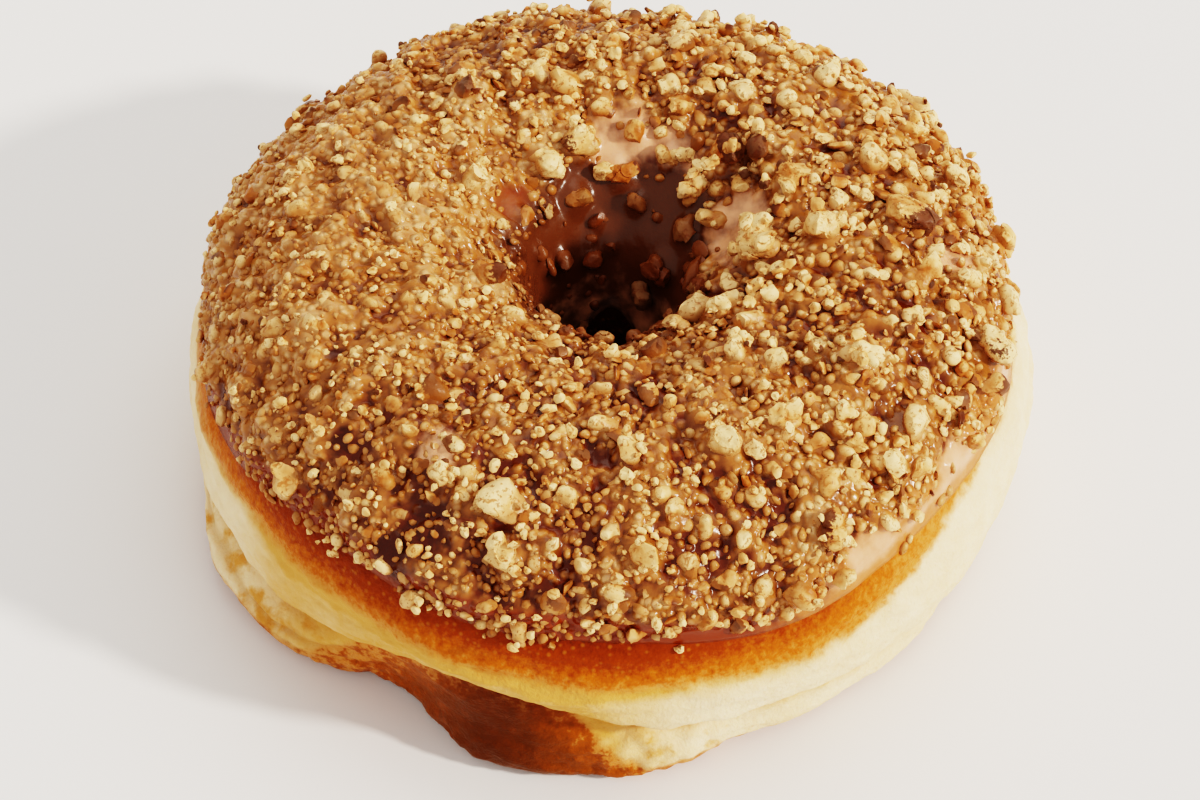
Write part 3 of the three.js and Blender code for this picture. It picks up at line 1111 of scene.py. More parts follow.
@dataclass
class GlazeCoat:
    """The glaze: a thin closed shell on the dough, lumpy with the grains that it has covered."""

    skin: SkinMap
    steps_around: int = 720
    steps_over: int = 112
    steps_inside: int = 6
    thickness: float = 1.1
    film: float = 0.06  # least height of its outer face over the dough
    depth: float = 0.5  # how far its inner face lies in the dough's skin
    outer_edge: float = 25.0  # degrees over the tube
    outer_waves: tuple[Wave, ...] = (Wave(2, 3, 1), Wave(1.5, 8))
    outer_dip: Hump = Hump(180, 60, -5)
    inner_edge: float = 186.0
    inner_waves: tuple[Wave, ...] = (Wave(6, 2), Wave(4, 5, 2))
    edge_rises: tuple[Hump, ...] = (Hump(-25, 62, 0.5), Hump(-120, 80, 5.0))  # degrees
    feathered: tuple[Span, Span] = ((0, 0.07), (0.95, 1))  # shares of its width at its edges
    edge_thickness: float = 0.05  # as a share
    drift: Relief = Relief(0.3, 7.0, 11.0)
    heaps: Relief = Relief(1.0, 5.4, 12.0)
    heap_range: Span = (-0.42, 0.38)
    heap_height: float = 1.15  # how far the topping heaps up over its hollows
    heap_level: float = 0.4  # the share of a heap at which the coat has its plain height
    lump_count: int = 6500
    lump_sizes: Span = (0.5, 0.95)  # radius of a covered grain
    lump_bias: float = 1.5  # the higher, the more of them are small
    lump_heights: Span = (0.35, 0.8)  # as a share of the radius
    lump_seed: int = 31
    spot_edge: Span = (0.45, 1.15)  # shares of its radius over which a bare spot ends

    margin: float = 4.0  # degrees at the outer edge that are bare of nuts
    margin_right: Hump = Hump(-35, 55, 4.5)
    margin_waves: tuple[Wave, ...] = (Wave(2, 9), Wave(1.4, 23))
    margin_end: Span = (-1, 3)  # degrees from the margin over which the nuts set in
    bare_walls: tuple[Stretch, ...] = (Stretch(125, 158, 12), Stretch(20, 115, 15, 0.7))
    bare_rise: float = 11.0  # how many degrees earlier the hole's bare part starts at them
    bare_hole: Span = (140, 150)

    full_lump: float = 0.5  # height at which a lump is at its palest
    lump_pale: float = 0.65
    heap_pale: float = 0.5
    # Painted light and shade by side of the ring: paler on the left, darker at the front and the right
    light: tuple[Hump, ...] = (Hump(165, 90, 0.32), Hump(-100, 60, -0.32), Hump(5, 85, -0.12))
    milky_spots: float = 0.68
    right: Stretch = Stretch(-48, 10, 34)  # where the glaze ran out thin over the crust
    milky_rim: float = 0.6
    milky_end: Span = (126, 138)  # where the milkiness ends, down in the hole
    milky_shifts: tuple[Stretch, ...] = (Stretch(10, 32, 8, 10), Stretch(48, 78, 10, -8))
    haze: float = 0.45
    hazy: Span = (150, 172)
    pooled: float = 0.75
    # Painted shade down the hole: its share, where it sets in, and how much earlier at the walls
    pit_shade: float = 0.95
    pit_hole: Span = (134, 146)
    pit_wall: Stretch = Stretch(110, 225, 20, 10)
    wet: float = 0.55
    rim: Span = (5, 13)  # degrees from the edge over which the rim's look ends
    rim_ends: Span = (1, 7)
    ends_clear: float = 0.7  # how much of the milkiness the very edge lacks
    thin_rim: Span = (12, 22)
    thin: float = 0.9
    amber_rim: float = 0.95
    lift: np.ndarray = field(init=False)

    def __post_init__(self) -> None:
        """Lays out the coat on the dough, and raises its lumps."""
        theta = np.arange(self.steps_around) * FULL_TURN / self.steps_around
        self.share = np.linspace(0, 1, self.steps_over + 1)
        self.theta = np.repeat(theta[:, None], self.steps_over + 1, 1)
        outer, inner = self.drawn_outer(theta)[:, None], self.inner(theta)[:, None]
        self.psi = outer + (inner - outer) * self.share
        self.base, self.normals = self.skin.at(self.theta, self.psi)
        feather = shelf(self.share, *self.feathered)
        drift = 1 + self.drift.at(self.base)
        self.heap = ramp(self.heaps.at(self.base), *self.heap_range)
        thick = self.edge_thickness + (1 - self.edge_thickness) * feather
        self.plain = self.film + self.thickness * drift * thick
        covered = feather * (1 - self.bareness(self.theta, self.psi))
        self.plain = self.plain + self.heap_height * (self.heap - self.heap_level) * covered
        self.feather = feather
        self.lumps = np.zeros_like(self.plain)
        self.raise_lumps()
        self.settle()

    def settle(self) -> None:
        """Works out how high the coat stands, after lumps or mounds have been raised."""
        self.lift = self.plain + self.lumps * self.feather

    @staticmethod
    def outer(theta: np.ndarray | float) -> np.ndarray | float:
        """The coat's edge on the outside, in radians over the tube."""
        waves = total(GlazeCoat.outer_waves, theta)
        return np.radians(GlazeCoat.outer_edge + waves + GlazeCoat.outer_dip.over(theta))

    def drawn_outer(self, theta: np.ndarray | float) -> np.ndarray | float:
        """The edge that shows: at the front and the right it lies a little above the solid's."""
        return self.outer(theta) + np.radians(total(self.edge_rises, theta))

    @staticmethod
    def inner(theta: np.ndarray | float) -> np.ndarray | float:
        """The coat's edge down in the hole, in radians over the tube."""
        return np.radians(GlazeCoat.inner_edge + total(GlazeCoat.inner_waves, theta))

    def spot_share(
        self, theta: np.ndarray, psi: np.ndarray, looks: tuple[Spot, ...], weighed: bool
    ) -> np.ndarray:
        """How far each place lies in the bare spots of some looks.

        Args:
            theta: Angles around the ring, in radians.
            psi: Angles over the tube, in radians.
            looks: The looks that count.
            weighed: Whether each spot counts by its bareness, or in full.

        Returns:
            One share from 0 to 1 for each place.
        """
        place, _ = self.skin.at(theta, psi)
        share = np.zeros(place.shape[:-1])
        for spot in BARE_SPOTS:
            if spot.look in looks:
                middle, _ = self.skin.at(
                    np.radians([float(spot.around)]), np.radians([float(spot.over)])
                )
                apart = np.linalg.norm(place - middle[0], axis=-1)
                inside = 1 - ramp(apart, *(spot.radius * edge for edge in self.spot_edge))
                share = np.maximum(share, inside * (spot.bareness if weighed else 1))
        return share

    def bareness(self, theta: np.ndarray, psi: np.ndarray) -> np.ndarray:
        """How bare of nuts each place is, from 0 to 1.

        Args:
            theta: Angles around the ring, in radians.
            psi: Angles over the tube, in radians.

        Returns:
            One share for each place.
        """
        spots = self.spot_share(theta, psi, tuple(Spot), weighed=True)
        margin = total((self.margin_right, *self.margin_waves), theta, self.margin)
        first, last = (margin + end for end in self.margin_end)
        rim = 1 - ramp(np.degrees(psi - self.outer(theta)), first, last)
        wall = np.maximum(*(part.over(theta) for part in self.bare_walls))
        hole = ramp(np.degrees(psi) + self.bare_rise * wall, *self.bare_hole)
        return np.maximum(np.maximum(spots, rim), hole)

    def window(self, theta: float, psi: float, radius: float) -> tuple[np.ndarray, np.ndarray]:
        """The rows and columns of the coat's grid within a radius of a place.

        Args:
            theta: Angle around the ring, in radians.
            psi: Angle over the tube, in radians.
            radius: Reach, in millimetres.

        Returns:
            Row numbers, which wrap around the ring, and column numbers.
        """
        rho = max(4.0, self.skin.form.heart[0] + self.skin.form.tube_radius * math.cos(psi))
        rows = int(radius / (FULL_TURN * rho / self.steps_around)) + 2
        start = float(self.drawn_outer(theta))
        pitch = (float(self.inner(theta)) - start) / self.steps_over
        columns = int(radius / (pitch * 14)) + 2
        i = int(round(theta / FULL_TURN * self.steps_around))
        j = int(round((psi - start) / pitch))
        near = np.arange(max(0, j - columns), min(self.steps_over, j + columns) + 1)
        return np.arange(i - rows, i + rows + 1) % self.steps_around, near

    def swell_up(
        self, table: np.ndarray, theta: float, psi: float, radius: float, height: float,
        soft: bool = False,
    ) -> None:
        """Raises a round dome or a soft mound on a table of heights over the coat's grid.

        Args:
            table: The heights, changed in place.
            theta: Angle around the ring of the dome's middle, in radians.
            psi: Angle over the tube of it.
            radius: Its radius in millimetres.
            height: How high its top stands.
            soft: Whether it runs out flat, as a mound does.
        """
        rows, columns = self.window(theta, psi, radius)
        if len(columns) == 0:
            return
        block = np.ix_(rows, columns)
        middle, _ = self.skin.at(np.array([theta]), np.array([psi]))
        apart = np.linalg.norm(self.base[block] - middle[0], axis=2) / radius
        inside = np.clip(1 - apart**2, 0, 1)
        dome = height * (inside**2 if soft else np.sqrt(inside))
        table[block] = np.maximum(table[block], dome)

    def raise_lumps(self) -> None:
        """Covers the coat with the domes of grains that lie under the glaze."""
        random = np.random.default_rng(self.lump_seed)
        least, most = self.lump_sizes
        theta = FULL_TURN * random.random(self.lump_count)
        start, end = self.drawn_outer(theta), self.inner(theta)
        psi = start + (end - start) * random.random(self.lump_count)
        radius = least + (most - least) * random.random(self.lump_count) ** self.lump_bias
        height = radius * random.uniform(*self.lump_heights, self.lump_count)
        keep = random.random(self.lump_count) > self.bareness(theta, psi)
        for lump in zip(theta[keep], psi[keep], radius[keep], height[keep]):
            self.swell_up(self.lumps, *(float(v) for v in lump))

    def height_at(self, table: np.ndarray, theta: np.ndarray, psi: np.ndarray) -> np.ndarray:
        """Values of a table over the coat's grid at any places, from the nearest grid points."""
        i = np.rint(theta / FULL_TURN * self.steps_around).astype(int) % self.steps_around
        start, end = self.drawn_outer(theta), self.inner(theta)
        j = np.rint((psi - start) / (end - start) * self.steps_over).astype(int)
        return table[i, np.clip(j, 0, self.steps_over)]

    def build(self) -> bpy.types.Object:
        """Makes the closed shell from the lumpy outside and a plain inside.

        Returns:
            The finished piece.
        """
        outside = self.base + self.normals * self.lift[..., None]
        back = np.linspace(self.steps_over, 0, self.steps_inside).astype(int)
        inside = self.base[:, back] - self.normals[:, back] * self.depth
        shell = np.concatenate([outside, inside], 1)
        # Paler on lumps and heaps, with the painted light and shade of each side added
        height = self.lump_pale * np.clip(self.lumps / self.full_lump, 0, 1)
        height = height + self.heap_pale * self.heap + total(self.light, self.theta)
        values = {"height": height, **self.looks()}
        rows = {key: np.concatenate([v, v[:, back]], 1) for key, v in values.items()}
        piece = closed_tube("glaze_coat", shell, rows)
        piece.data.materials.append(SugarGlaze().build())
        return piece

    def looks(self) -> dict[str, np.ndarray]:
        """Where the glaze is grainy, milky, pooled dark, painted with shade down the hole, thin or
        amber, from 0 to 1.
        """
        theta, over = self.theta, np.degrees(self.psi)
        film, pool, pit, wet = (
            self.spot_share(theta, self.psi, (look,), weighed=False)
            for look in (Spot.FILM, Spot.POOL, Spot.PIT, Spot.WET)
        )
        from_edge = np.degrees(self.psi - self.drawn_outer(theta))
        from_solid_edge = np.degrees(self.psi - self.outer(theta))
        rim, ends = (1 - ramp(from_edge, *reach) for reach in (self.rim, self.rim_ends))
        right = self.right.over(theta)
        milky = np.maximum(self.milky_spots * film, self.milky_rim * rim * right)
        milky = milky * (1 - ramp(over - total(self.milky_shifts, theta), *self.milky_end))
        hole = ramp(over + self.pit_wall.over(theta), *self.pit_hole)
        return {
            "grainy": 1 - self.bareness(theta, self.psi),
            "milky": milky * (1 - self.ends_clear * ends) + self.haze * ramp(over, *self.hazy),
            "pool": self.pooled * pool,
            "pit": self.pit_shade * np.maximum(pit, hole),
            "thin": self.thin * right * (1 - ramp(from_solid_edge, *self.thin_rim)),
            "amber": np.maximum(self.wet * wet, self.amber_rim * rim * (1 - right)),
        }


# ---- The topping ----


@dataclass(frozen=True)
class SetNut:
    """One of the biggest pieces, set one by one: its place, size, toast and share of skin."""

    around: float
    over: float
    size: float
    toast: float
    skin: float


SET_NUTS = (
    SetNut(5, 77, 6.8, 0.5, 0.5),
    SetNut(-2, 118, 6.0, 0.1, 0.3),
    SetNut(0, 101, 5.4, 0.15, 0.1),
    SetNut(21, 104, 4.8, 0.5, 0.45),
    SetNut(47, 112, 5.2, 0.6, 0.75),
    SetNut(49, 127, 4.2, 0.35, 0.0),
    SetNut(45, 154, 4.0, 0.7, 0.4),
    SetNut(85, 129, 4.2, 0.85, 0.2),
    SetNut(103, 119, 5.0, 0.2, 0.3),
    SetNut(119, 124, 5.2, 0.15, 0.0),
    SetNut(147, 116, 4.8, 0.15, 0.0),
    SetNut(-161, 125, 5.2, 0.7, 0.65),
    SetNut(-142, 40, 4.4, 0.35, 0.0),
    SetNut(-135, 137, 4.2, 0.15, 0.0),
    SetNut(-107, 66, 5.8, 0.0, 0.0),
    SetNut(-105, 53, 4.4, 0.2, 0.0),
    SetNut(-95, 136, 3.6, 0.3, 0.0),
    SetNut(-67, 83, 5.4, 0.05, 0.05),
    SetNut(-57, 49, 4.8, 0.6, 0.85),
    SetNut(-53, 81, 4.8, 0.25, 0.0),
    SetNut(-50, 133, 4.0, 0.3, 0.1),
    SetNut(-33, 80, 4.6, 0.1, 0.0),
    SetNut(-14, 45, 5.0, 0.15, 0.1),
)


@dataclass
class Grains:
    """Places, sizes and tones of many grains of one kind."""

    theta: np.ndarray
    psi: np.ndarray
    size: np.ndarray
    tint: np.ndarray
    skin: np.ndarray


@dataclass(frozen=True)
class NutRule:
    """The rule that the solids place their nuts by."""

    large: tuple[int, float, float] = (32, 3.8, 5.4)  # how many, and least and most size
    small: tuple[int, float, float] = (220, 2.6, 3.8)
    mean_size: float = 0.92  # as a share of the drawn one
    coarser_right: float = 0.12
    spacing: float = 0.94  # least distance as a share of the mean of two sizes
    most_tries: int = 6000
    margin_outer: float = 4.0  # degrees of the coat's edges that stay free of nuts
    margin_right: Hump = Hump(-30, 60, 5.0)
    margin_inner: float = 26.0
    small_bias: float = 1.6
    seed: int = 11

    def places(self, form: RingForm) -> list[tuple[float, float, float]]:
        """Works out the same places as the solids have.

        Args:
            form: The form of the ring.

        Returns:
            Angle around, angle over and size of each nut, the set ones first.
        """
        draws = SeededDraws(self.seed)
        kept = [(math.radians(n.around), math.radians(n.over), n.size) for n in SET_NUTS]
        count = 0
        for number, least, most in (self.large, self.small):
            wanted = len(kept) + number
            for _ in range(self.most_tries):
                if len(kept) >= wanted:
                    break
                count += 1
                around, over = ((0.5 + count * step) % 1 for step in SPREAD)
                theta = FULL_TURN * around
                coarse = self.mean_size + self.coarser_right * math.cos(theta)
                size = coarse * (least + (most - least) * draws.draw() ** self.small_bias)
                keep = draws.draw()
                margin = self.margin_outer + float(self.margin_right.over(theta))
                start = float(GlazeCoat.outer(theta)) + math.radians(margin)
                end = float(GlazeCoat.inner(theta)) - math.radians(self.margin_inner)
                psi = start + (end - start) * over
                rho = form.heart[0] + form.tube_radius * math.cos(psi)
                if keep > rho / (form.ring_diameter / 2):
                    continue
                if all(
                    math.hypot(float(wrapped(theta - t)) * rho, (psi - p) * form.tube_radius)
                    > self.spacing * (size + s) / 2
                    for t, p, s in kept
                ):
                    kept.append((theta, psi, size))
        return kept


@dataclass(frozen=True)
class Shape:
    """How the pieces of one kind are broken: the blank's fineness, lobes, lumps and flat breaks."""

    detail: int  # subdivisions of the round blank, or 0 for a cube with its corners rounded
    variants: int
    lobes: int = 0  # how many rounded crumbs it is clumped from, or 0 for one body
    lumps: float = 0.3
    lump_size: float = 0.5
    breaks: int = 3
    crumble: float = 0.0
    flat: float = 1.0  # how thick it is, as a share of the others
    crisp: float = 34.0  # degrees at an edge from which it looks broken, not rounded
    least_stretch: tuple[float, float, float] = (0.95, 0.75, 0.65)
    most_stretch: tuple[float, float, float] = (1.25, 1.0, 0.9)
    break_place: Span = (0.2, 0.4)  # how far from its middle a break lies
    break_flatness: float = 0.92
    crumb_size: float = 0.16
    lobe_place: Span = (0.16, 0.34)
    lobe_radius: Span = (0.14, 0.25)
    core_radius: float = 0.27

    def template(self, seed: int) -> tuple[np.ndarray, np.ndarray]:
        """One broken piece about 1 across.

        Args:
            seed: Which of the variants it is.

        Returns:
            Its points, and its triangles as point numbers.
        """
        random = np.random.default_rng(seed)
        bm = bmesh.new()
        if self.detail:
            bmesh.ops.create_icosphere(bm, subdivisions=self.detail, radius=0.5)
        else:
            bmesh.ops.create_cube(bm, size=0.75)
            bmesh.ops.subdivide_edges(bm, edges=bm.edges, cuts=1, use_grid_fill=True, smooth=0.35)
            bmesh.ops.triangulate(bm, faces=bm.faces)
        points = np.array([v.co for v in bm.verts])
        faces = np.array([[v.index for v in f.verts] for f in bm.faces])
        bm.free()
        if self.lobes:
            points = self.clump(points, random)
        stretch = random.uniform(self.least_stretch, self.most_stretch)
        points = points * stretch * (1, 1, self.flat)
        bulge = rough_noise(points, self.lump_size, 1, seed)
        points = points * (1 + self.lumps * bulge)[:, None]
        for _ in range(self.breaks):
            facing = random.normal(size=3)
            facing /= np.linalg.norm(facing)
            beyond = np.maximum(points @ facing - random.uniform(*self.break_place), 0)
            points = points - self.break_flatness * beyond[:, None] * facing
        if self.crumble:
            crumbs = rough_noise(points, self.crumb_size, 2, seed + 0.5)
            points = points * (1 + self.crumble * crumbs)[:, None]
        points = points - (points.max(0) + points.min(0)) / 2
        return points / np.ptp(points, axis=0).max(), faces

    def clump(self, points: np.ndarray, random: np.random.Generator) -> np.ndarray:
        """Draws the points of a ball out to the surface of several crumbs stuck together.

        Args:
            points: The ball's points.
            random: Draws the places and sizes of the crumbs.

        Returns:
            The moved points.
        """
        facing = points / np.linalg.norm(points, axis=1, keepdims=True)
        middles = random.normal(size=(self.lobes, 3))
        apart = random.uniform(*self.lobe_place, (self.lobes, 1))
        middles *= apart / np.linalg.norm(middles, axis=1, keepdims=True)
        radii = random.uniform(*self.lobe_radius, self.lobes)
        middles[0], radii[0] = 0.0, self.core_radius
        along = facing @ middles.T
        inside = radii**2 - (middles**2).sum(1) + along**2
        reach = np.where(inside > 0, along + np.sqrt(np.maximum(inside, 0)), 0)
        return facing * reach.max(1, keepdims=True)


class Kind(Enum):
    """The kinds of grain in the topping, each of which is one piece."""

    CHUNKS = "nut_chunks"
    CHOPPED = "chopped_nuts"
    NUGGETS = "nut_nuggets"
    GRAINS = "nut_grains"
    GRITS = "nut_grits"
    MEAL = "nut_meal"
    FLAKES = "skin_flakes"
    BITS = "loose_bits"
    CRUMBS = "loose_crumbs"


class Seat(Enum):
    """What a grain rests on: set in the glaze with a mound round it, stuck to it, or on top."""

    MOUND = "mound"
    STUCK = "stuck"
    LOOSE = "loose"


@dataclass(frozen=True)
class Batch:
    """One kind of grain: how many, how large, how dense, how set, and how it looks."""

    kind: Kind
    shape: Shape
    seat: Seat
    seed: int  # of its places, its turns and its broken shapes
    sunk: float  # how far a grain reaches into what it lies on, as a share of its size
    wanted: int = 0
    sizes: tuple[float, float] = (1.0, 1.0)
    small_bias: float = 1.7  # the higher, the more of them are near the smallest size
    spacing: float = 0.6  # least distance as a share of the mean of two sizes
    coarser_right: float = 0.0  # how much larger they are on the right, as a share
    left: float = 1.0  # share kept on the left
    right: float = 1.0  # share kept on the right
    patches: float = 0.0  # size in millimetres of the patches that they lie in, or 0 if even
    toast: float = 0.4
    skinned: float = 0.05  # share of them with dark skin
    dry: float = 0.0  # how much drier than the others of its height
    toast_spread: float = 0.24
    paler_right: float = 0.05
    skin_shares: Span = (0.5, 1.0)

    def looks(self, spread: tuple[np.ndarray, np.ndarray, np.ndarray]) -> "Grains":
        """Gives each grain of a spread its toast and its share of skin."""
        random = np.random.default_rng(100 + self.seed)
        theta, psi, size = spread
        drawn = self.toast + self.toast_spread * random.normal(size=len(size))
        drawn = drawn - self.paler_right * np.cos(theta)
        skins = random.random(len(size)) < self.skinned
        share = np.where(skins, random.uniform(*self.skin_shares, len(size)), 0)
        return Grains(theta, psi, size, np.clip(drawn, 0, 1), share)


SET_CHUNKS = Batch(
    Kind.CHUNKS,
    Shape(5, len(SET_NUTS), lobes=4, lumps=0.35, lump_size=0.35, breaks=9, crumble=0.1, crisp=24),
    Seat.MOUND, seed=41, sunk=0.18, dry=0.5,
)
CHOPPED_NUTS = Batch(
    Kind.CHOPPED, Shape(3, 36, lobes=4, lumps=0.35, lump_size=0.4, breaks=7, crumble=0.1, crisp=28),
    Seat.MOUND, seed=43, sunk=0.28, toast=0.3, skinned=0.25, dry=0.25,
)
SET_IN_GLAZE = (
    Batch(
        Kind.NUGGETS, Shape(3, 30, lobes=5, lumps=0.35, lump_size=0.4, breaks=6, crumble=0.1, crisp=28),
        Seat.MOUND, seed=3, sunk=0.28, wanted=260, sizes=(2.0, 3.8), spacing=0.75,
        coarser_right=0.26, left=0.35, patches=7.0, toast=0.25, skinned=0.22, dry=0.25,
    ),
    Batch(
        Kind.GRAINS, Shape(2, 30, lobes=3, lumps=0.3, breaks=3, crumble=0.12, crisp=44),
        Seat.MOUND, seed=4, sunk=0.46, wanted=1150, sizes=(1.3, 2.3), spacing=0.78,
        coarser_right=0.22, toast=0.42, skinned=0.08, dry=0.08,
    ),
)
STREWN = (
    Batch(
        Kind.GRITS, Shape(2, 30, lobes=2, lumps=0.3, breaks=2, crumble=0.08, crisp=50),
        Seat.STUCK, seed=5, sunk=0.46, wanted=2400, sizes=(1.0, 1.7), spacing=0.72,
        coarser_right=0.16, right=0.7, toast=0.45, skinned=0.03,
    ),
    Batch(
        Kind.MEAL, Shape(0, 30, lumps=0.5, lump_size=0.4, breaks=2, crisp=50),
        Seat.STUCK, seed=6, sunk=0.48, wanted=1500, sizes=(0.6, 1.0), spacing=0.6,
        right=0.7, toast=0.4, skinned=0.03,
    ),
    Batch(
        Kind.FLAKES, Shape(2, 24, lumps=0.6, breaks=5, flat=0.4),
        Seat.STUCK, seed=7, sunk=0.3, wanted=340, sizes=(0.9, 2.5), spacing=0.3,
        coarser_right=0.15, left=0.5, toast=0.8, skinned=2.0,
    ),
    Batch(
        Kind.CRUMBS, Shape(3, 30, lobes=7, lumps=0.3, breaks=4, crumble=0.14),
        Seat.LOOSE, seed=8, sunk=0.26, wanted=480, sizes=(1.5, 3.7), spacing=0.5,
        coarser_right=0.28, left=0.8, patches=5.0, toast=0.22, skinned=0.14,
    ),
    Batch(
        Kind.BITS, Shape(2, 30, lobes=4, lumps=0.4, breaks=3, crumble=0.12),
        Seat.LOOSE, seed=9, sunk=0.3, wanted=1600, sizes=(0.8, 1.9), spacing=0.4,
        coarser_right=0.22, left=1.0, patches=4.0, toast=0.22, skinned=0.06,
    ),
)


@dataclass
class Topping:
    """Chopped nuts in the glaze: set chunks, the larger pieces, and all the finer grains."""

    coat: GlazeCoat
    rule: NutRule = NutRule()
    mound_width: float = 0.72  # radius of the glaze round a nut, as a share of its size
    mound_height: float = 0.26
    kept_off: float = 0.975  # share of the grains that keep off the bare glaze
    tries: int = 9  # places tried for each grain that is wanted
    hollows: Span = (0.4, 0.55)  # share kept in the hollows, of patchy kinds and of even ones
    patch_edge: Span = (-0.2, 0.2)
    cell: float = 4.0  # millimetres, of the boxes by which neighbours are found
    lit_side: float = 0.25  # radians around the ring, where the topping lies driest
    sunk_far: float = 0.12  # how much deeper set grains lie on the other side
    dryness: float = 0.5
    dry_lit: float = 0.1
    dry_heap: float = 0.6
    dry_least: float = 0.2
    wet_hole: float = 0.8  # how much of the dryness is lost down in the hole
    wet_from: Span = (128, 146)
    # Painted shade on the nuts down in the hole: its share, and where it sets in
    drowned: float = 0.85
    hole_shade_from: Span = (126, 142)
    bare_set: Span = (0.05, 0.5)  # levels over which a grain gets bare, as shares of its size
    bare_loose: Span = (-0.3, 0.2)
    squash: float = 0.18  # how much flatter a grain lies than it is
    skin_slope: float = 1.8  # how sharply the skin ends across a grain
    skin_shift: float = -0.3
    crevice_shade: float = 1.8  # how much darker a crevice is painted, as painted shade
    crevice_shade_from: float = 0.4  # points nearer the middle than this, on a grain 1 across, are painted darker, those further out paler
    cap_width: float = 0.42
    cap_height: float = 0.75
    planned: list[tuple[Batch, Grains]] = field(default_factory=list)

    def __post_init__(self) -> None:
        """Settles where everything lies, and raises the glaze round what is set in it."""
        self.taken: dict[tuple[int, int, int], list[tuple[np.ndarray, float]]] = {}
        places = np.array(self.rule.places(self.coat.skin.form))
        base, _ = self.coat.skin.at(places[:, 0], places[:, 1])
        for point, size in zip(base, places[:, 2]):
            self.clear(point, float(size), 0.0)
        first = len(SET_NUTS)
        toast, skin = (np.array([getattr(n, key) for n in SET_NUTS]) for key in ("toast", "skin"))
        self.planned.append((SET_CHUNKS, Grains(*places[:first].T, toast, skin)))
        self.planned.append((CHOPPED_NUTS, CHOPPED_NUTS.looks(tuple(places[first:].T))))
        for batch in SET_IN_GLAZE:
            self.planned.append((batch, batch.looks(self.scatter(batch))))
        for _, grains in self.planned:
            for theta, psi, size in zip(grains.theta, grains.psi, grains.size):
                width, height = self.mound_width * size, self.mound_height * size
                self.coat.swell_up(self.coat.lumps, theta, psi, width, height, soft=True)
        self.coat.settle()
        self.top = self.coat.lift.copy()
        for batch in STREWN:
            self.planned.append((batch, batch.looks(self.scatter(batch))))

    def clear(self, point: np.ndarray, size: float, spacing: float) -> bool:
        """Whether a grain would lie far enough from all that are there, and if so, takes the place.

        Args:
            point: Its middle, in millimetres.
            size: Its size.
            spacing: Least distance as a share of the mean of two sizes.

        Returns:
            True if the place was free.
        """
        cell = tuple(int(c // self.cell) for c in point)
        for step in product((-1, 0, 1), repeat=3):
            for other, width in self.taken.get(tuple(c + d for c, d in zip(cell, step)), ()):
                gap = spacing * (size + width) / 2
                d = point - other
                if d @ d < gap * gap:
                    return False
        self.taken.setdefault(cell, []).append((point, size))
        return True

    def scatter(self, batch: Batch) -> tuple[np.ndarray, np.ndarray, np.ndarray]:
        """Spreads a batch evenly over the coat, thinner where the coat is bare.

        Args:
            batch: The kind of grain, with how many, how large and how dense.

        Returns:
            Angles around, angles over, and sizes.
        """
        random = np.random.default_rng(batch.seed)
        form = self.coat.skin.form
        tries = self.tries * batch.wanted
        count = np.arange(1, tries + 1)
        theta = FULL_TURN * ((0.5 + 0.37 * batch.seed + count * SPREAD[0]) % 1)
        theta = (theta + random.uniform(-0.01, 0.01, tries)) % FULL_TURN
        start, end = self.coat.outer(theta), self.coat.inner(theta)
        psi = start + (end - start) * ((0.5 + 0.61 * batch.seed + count * SPREAD[1]) % 1)
        least, most = batch.sizes
        size = least + (most - least) * random.random(tries) ** batch.small_bias
        size = size * (1 + batch.coarser_right * np.cos(theta))
        rho = form.heart[0] + form.tube_radius * np.cos(psi)
        points, _ = self.coat.skin.at(theta, psi)
        bare = self.coat.bareness(theta, psi)
        share = rho / (form.ring_diameter / 2) * (1 - self.kept_off * bare)
        right = 0.5 + 0.5 * np.cos(theta - self.lit_side)
        share *= batch.left + (batch.right - batch.left) * right
        heap = self.coat.height_at(self.coat.heap, theta, psi)
        patchy, even = self.hollows
        if batch.patches:
            share *= ramp(rough_noise(points, batch.patches, 1, batch.seed), *self.patch_edge)
            share *= patchy + (1 - patchy) * heap
        else:
            share *= even + (1 - even) * heap
        keep = random.random(tries) < share
        chosen = []
        for k in np.flatnonzero(keep):
            if len(chosen) >= batch.wanted:
                break
            if self.clear(points[k], float(size[k]), batch.spacing):
                chosen.append(k)
        return theta[chosen], psi[chosen], size[chosen]

    def join(self, batch: Batch, grains: Grains) -> bpy.types.Object:
        """Joins all the grains of one kind into one piece, each at rest on what lies under it.

        Args:
            batch: The kind of grain, and how it is set.
            grains: Where they lie, and how they look.

        Returns:
            The new piece.
        """
        random = np.random.default_rng(batch.seed)
        shape, size = batch.shape, grains.size
        base, out = self.coat.skin.at(grains.theta, grains.psi)
        table = {
            Seat.MOUND: self.coat.plain, Seat.STUCK: self.coat.lift, Seat.LOOSE: self.top,
        }[batch.seat]
        floor = self.coat.height_at(table, grains.theta, grains.psi)
        loose = batch.seat == Seat.LOOSE
        towards_light = np.cos(grains.theta - self.lit_side)
        deeper = 0.0 if loose else self.sunk_far * (0.5 - 0.5 * towards_light)
        rise = floor + (0.5 - batch.sunk - deeper) * size
        centre = base + out * rise[:, None]
        quaternion = random.normal(size=(len(size), 4))
        turn = rotation_matrices(quaternion / np.linalg.norm(quaternion, axis=1, keepdims=True))
        variant = random.integers(0, shape.variants, len(size))
        heap = self.coat.height_at(self.coat.heap, grains.theta, grains.psi)
        over = np.degrees(grains.psi)
        dryness = self.dryness + self.dry_lit * towards_light + self.dry_heap * heap + batch.dry
        dryness = dryness * (1 - self.wet_hole * ramp(over, *self.wet_from))
        dryness = np.ones(len(size)) if loose else np.clip(dryness, self.dry_least, 1)
        drowned = self.drowned * ramp(over, *self.hole_shade_from)
        low, high = self.bare_loose if loose else self.bare_set
        parts: list[tuple[np.ndarray, ...]] = []
        offset = 0
        for k in range(shape.variants):
            mine = np.flatnonzero(variant == k)
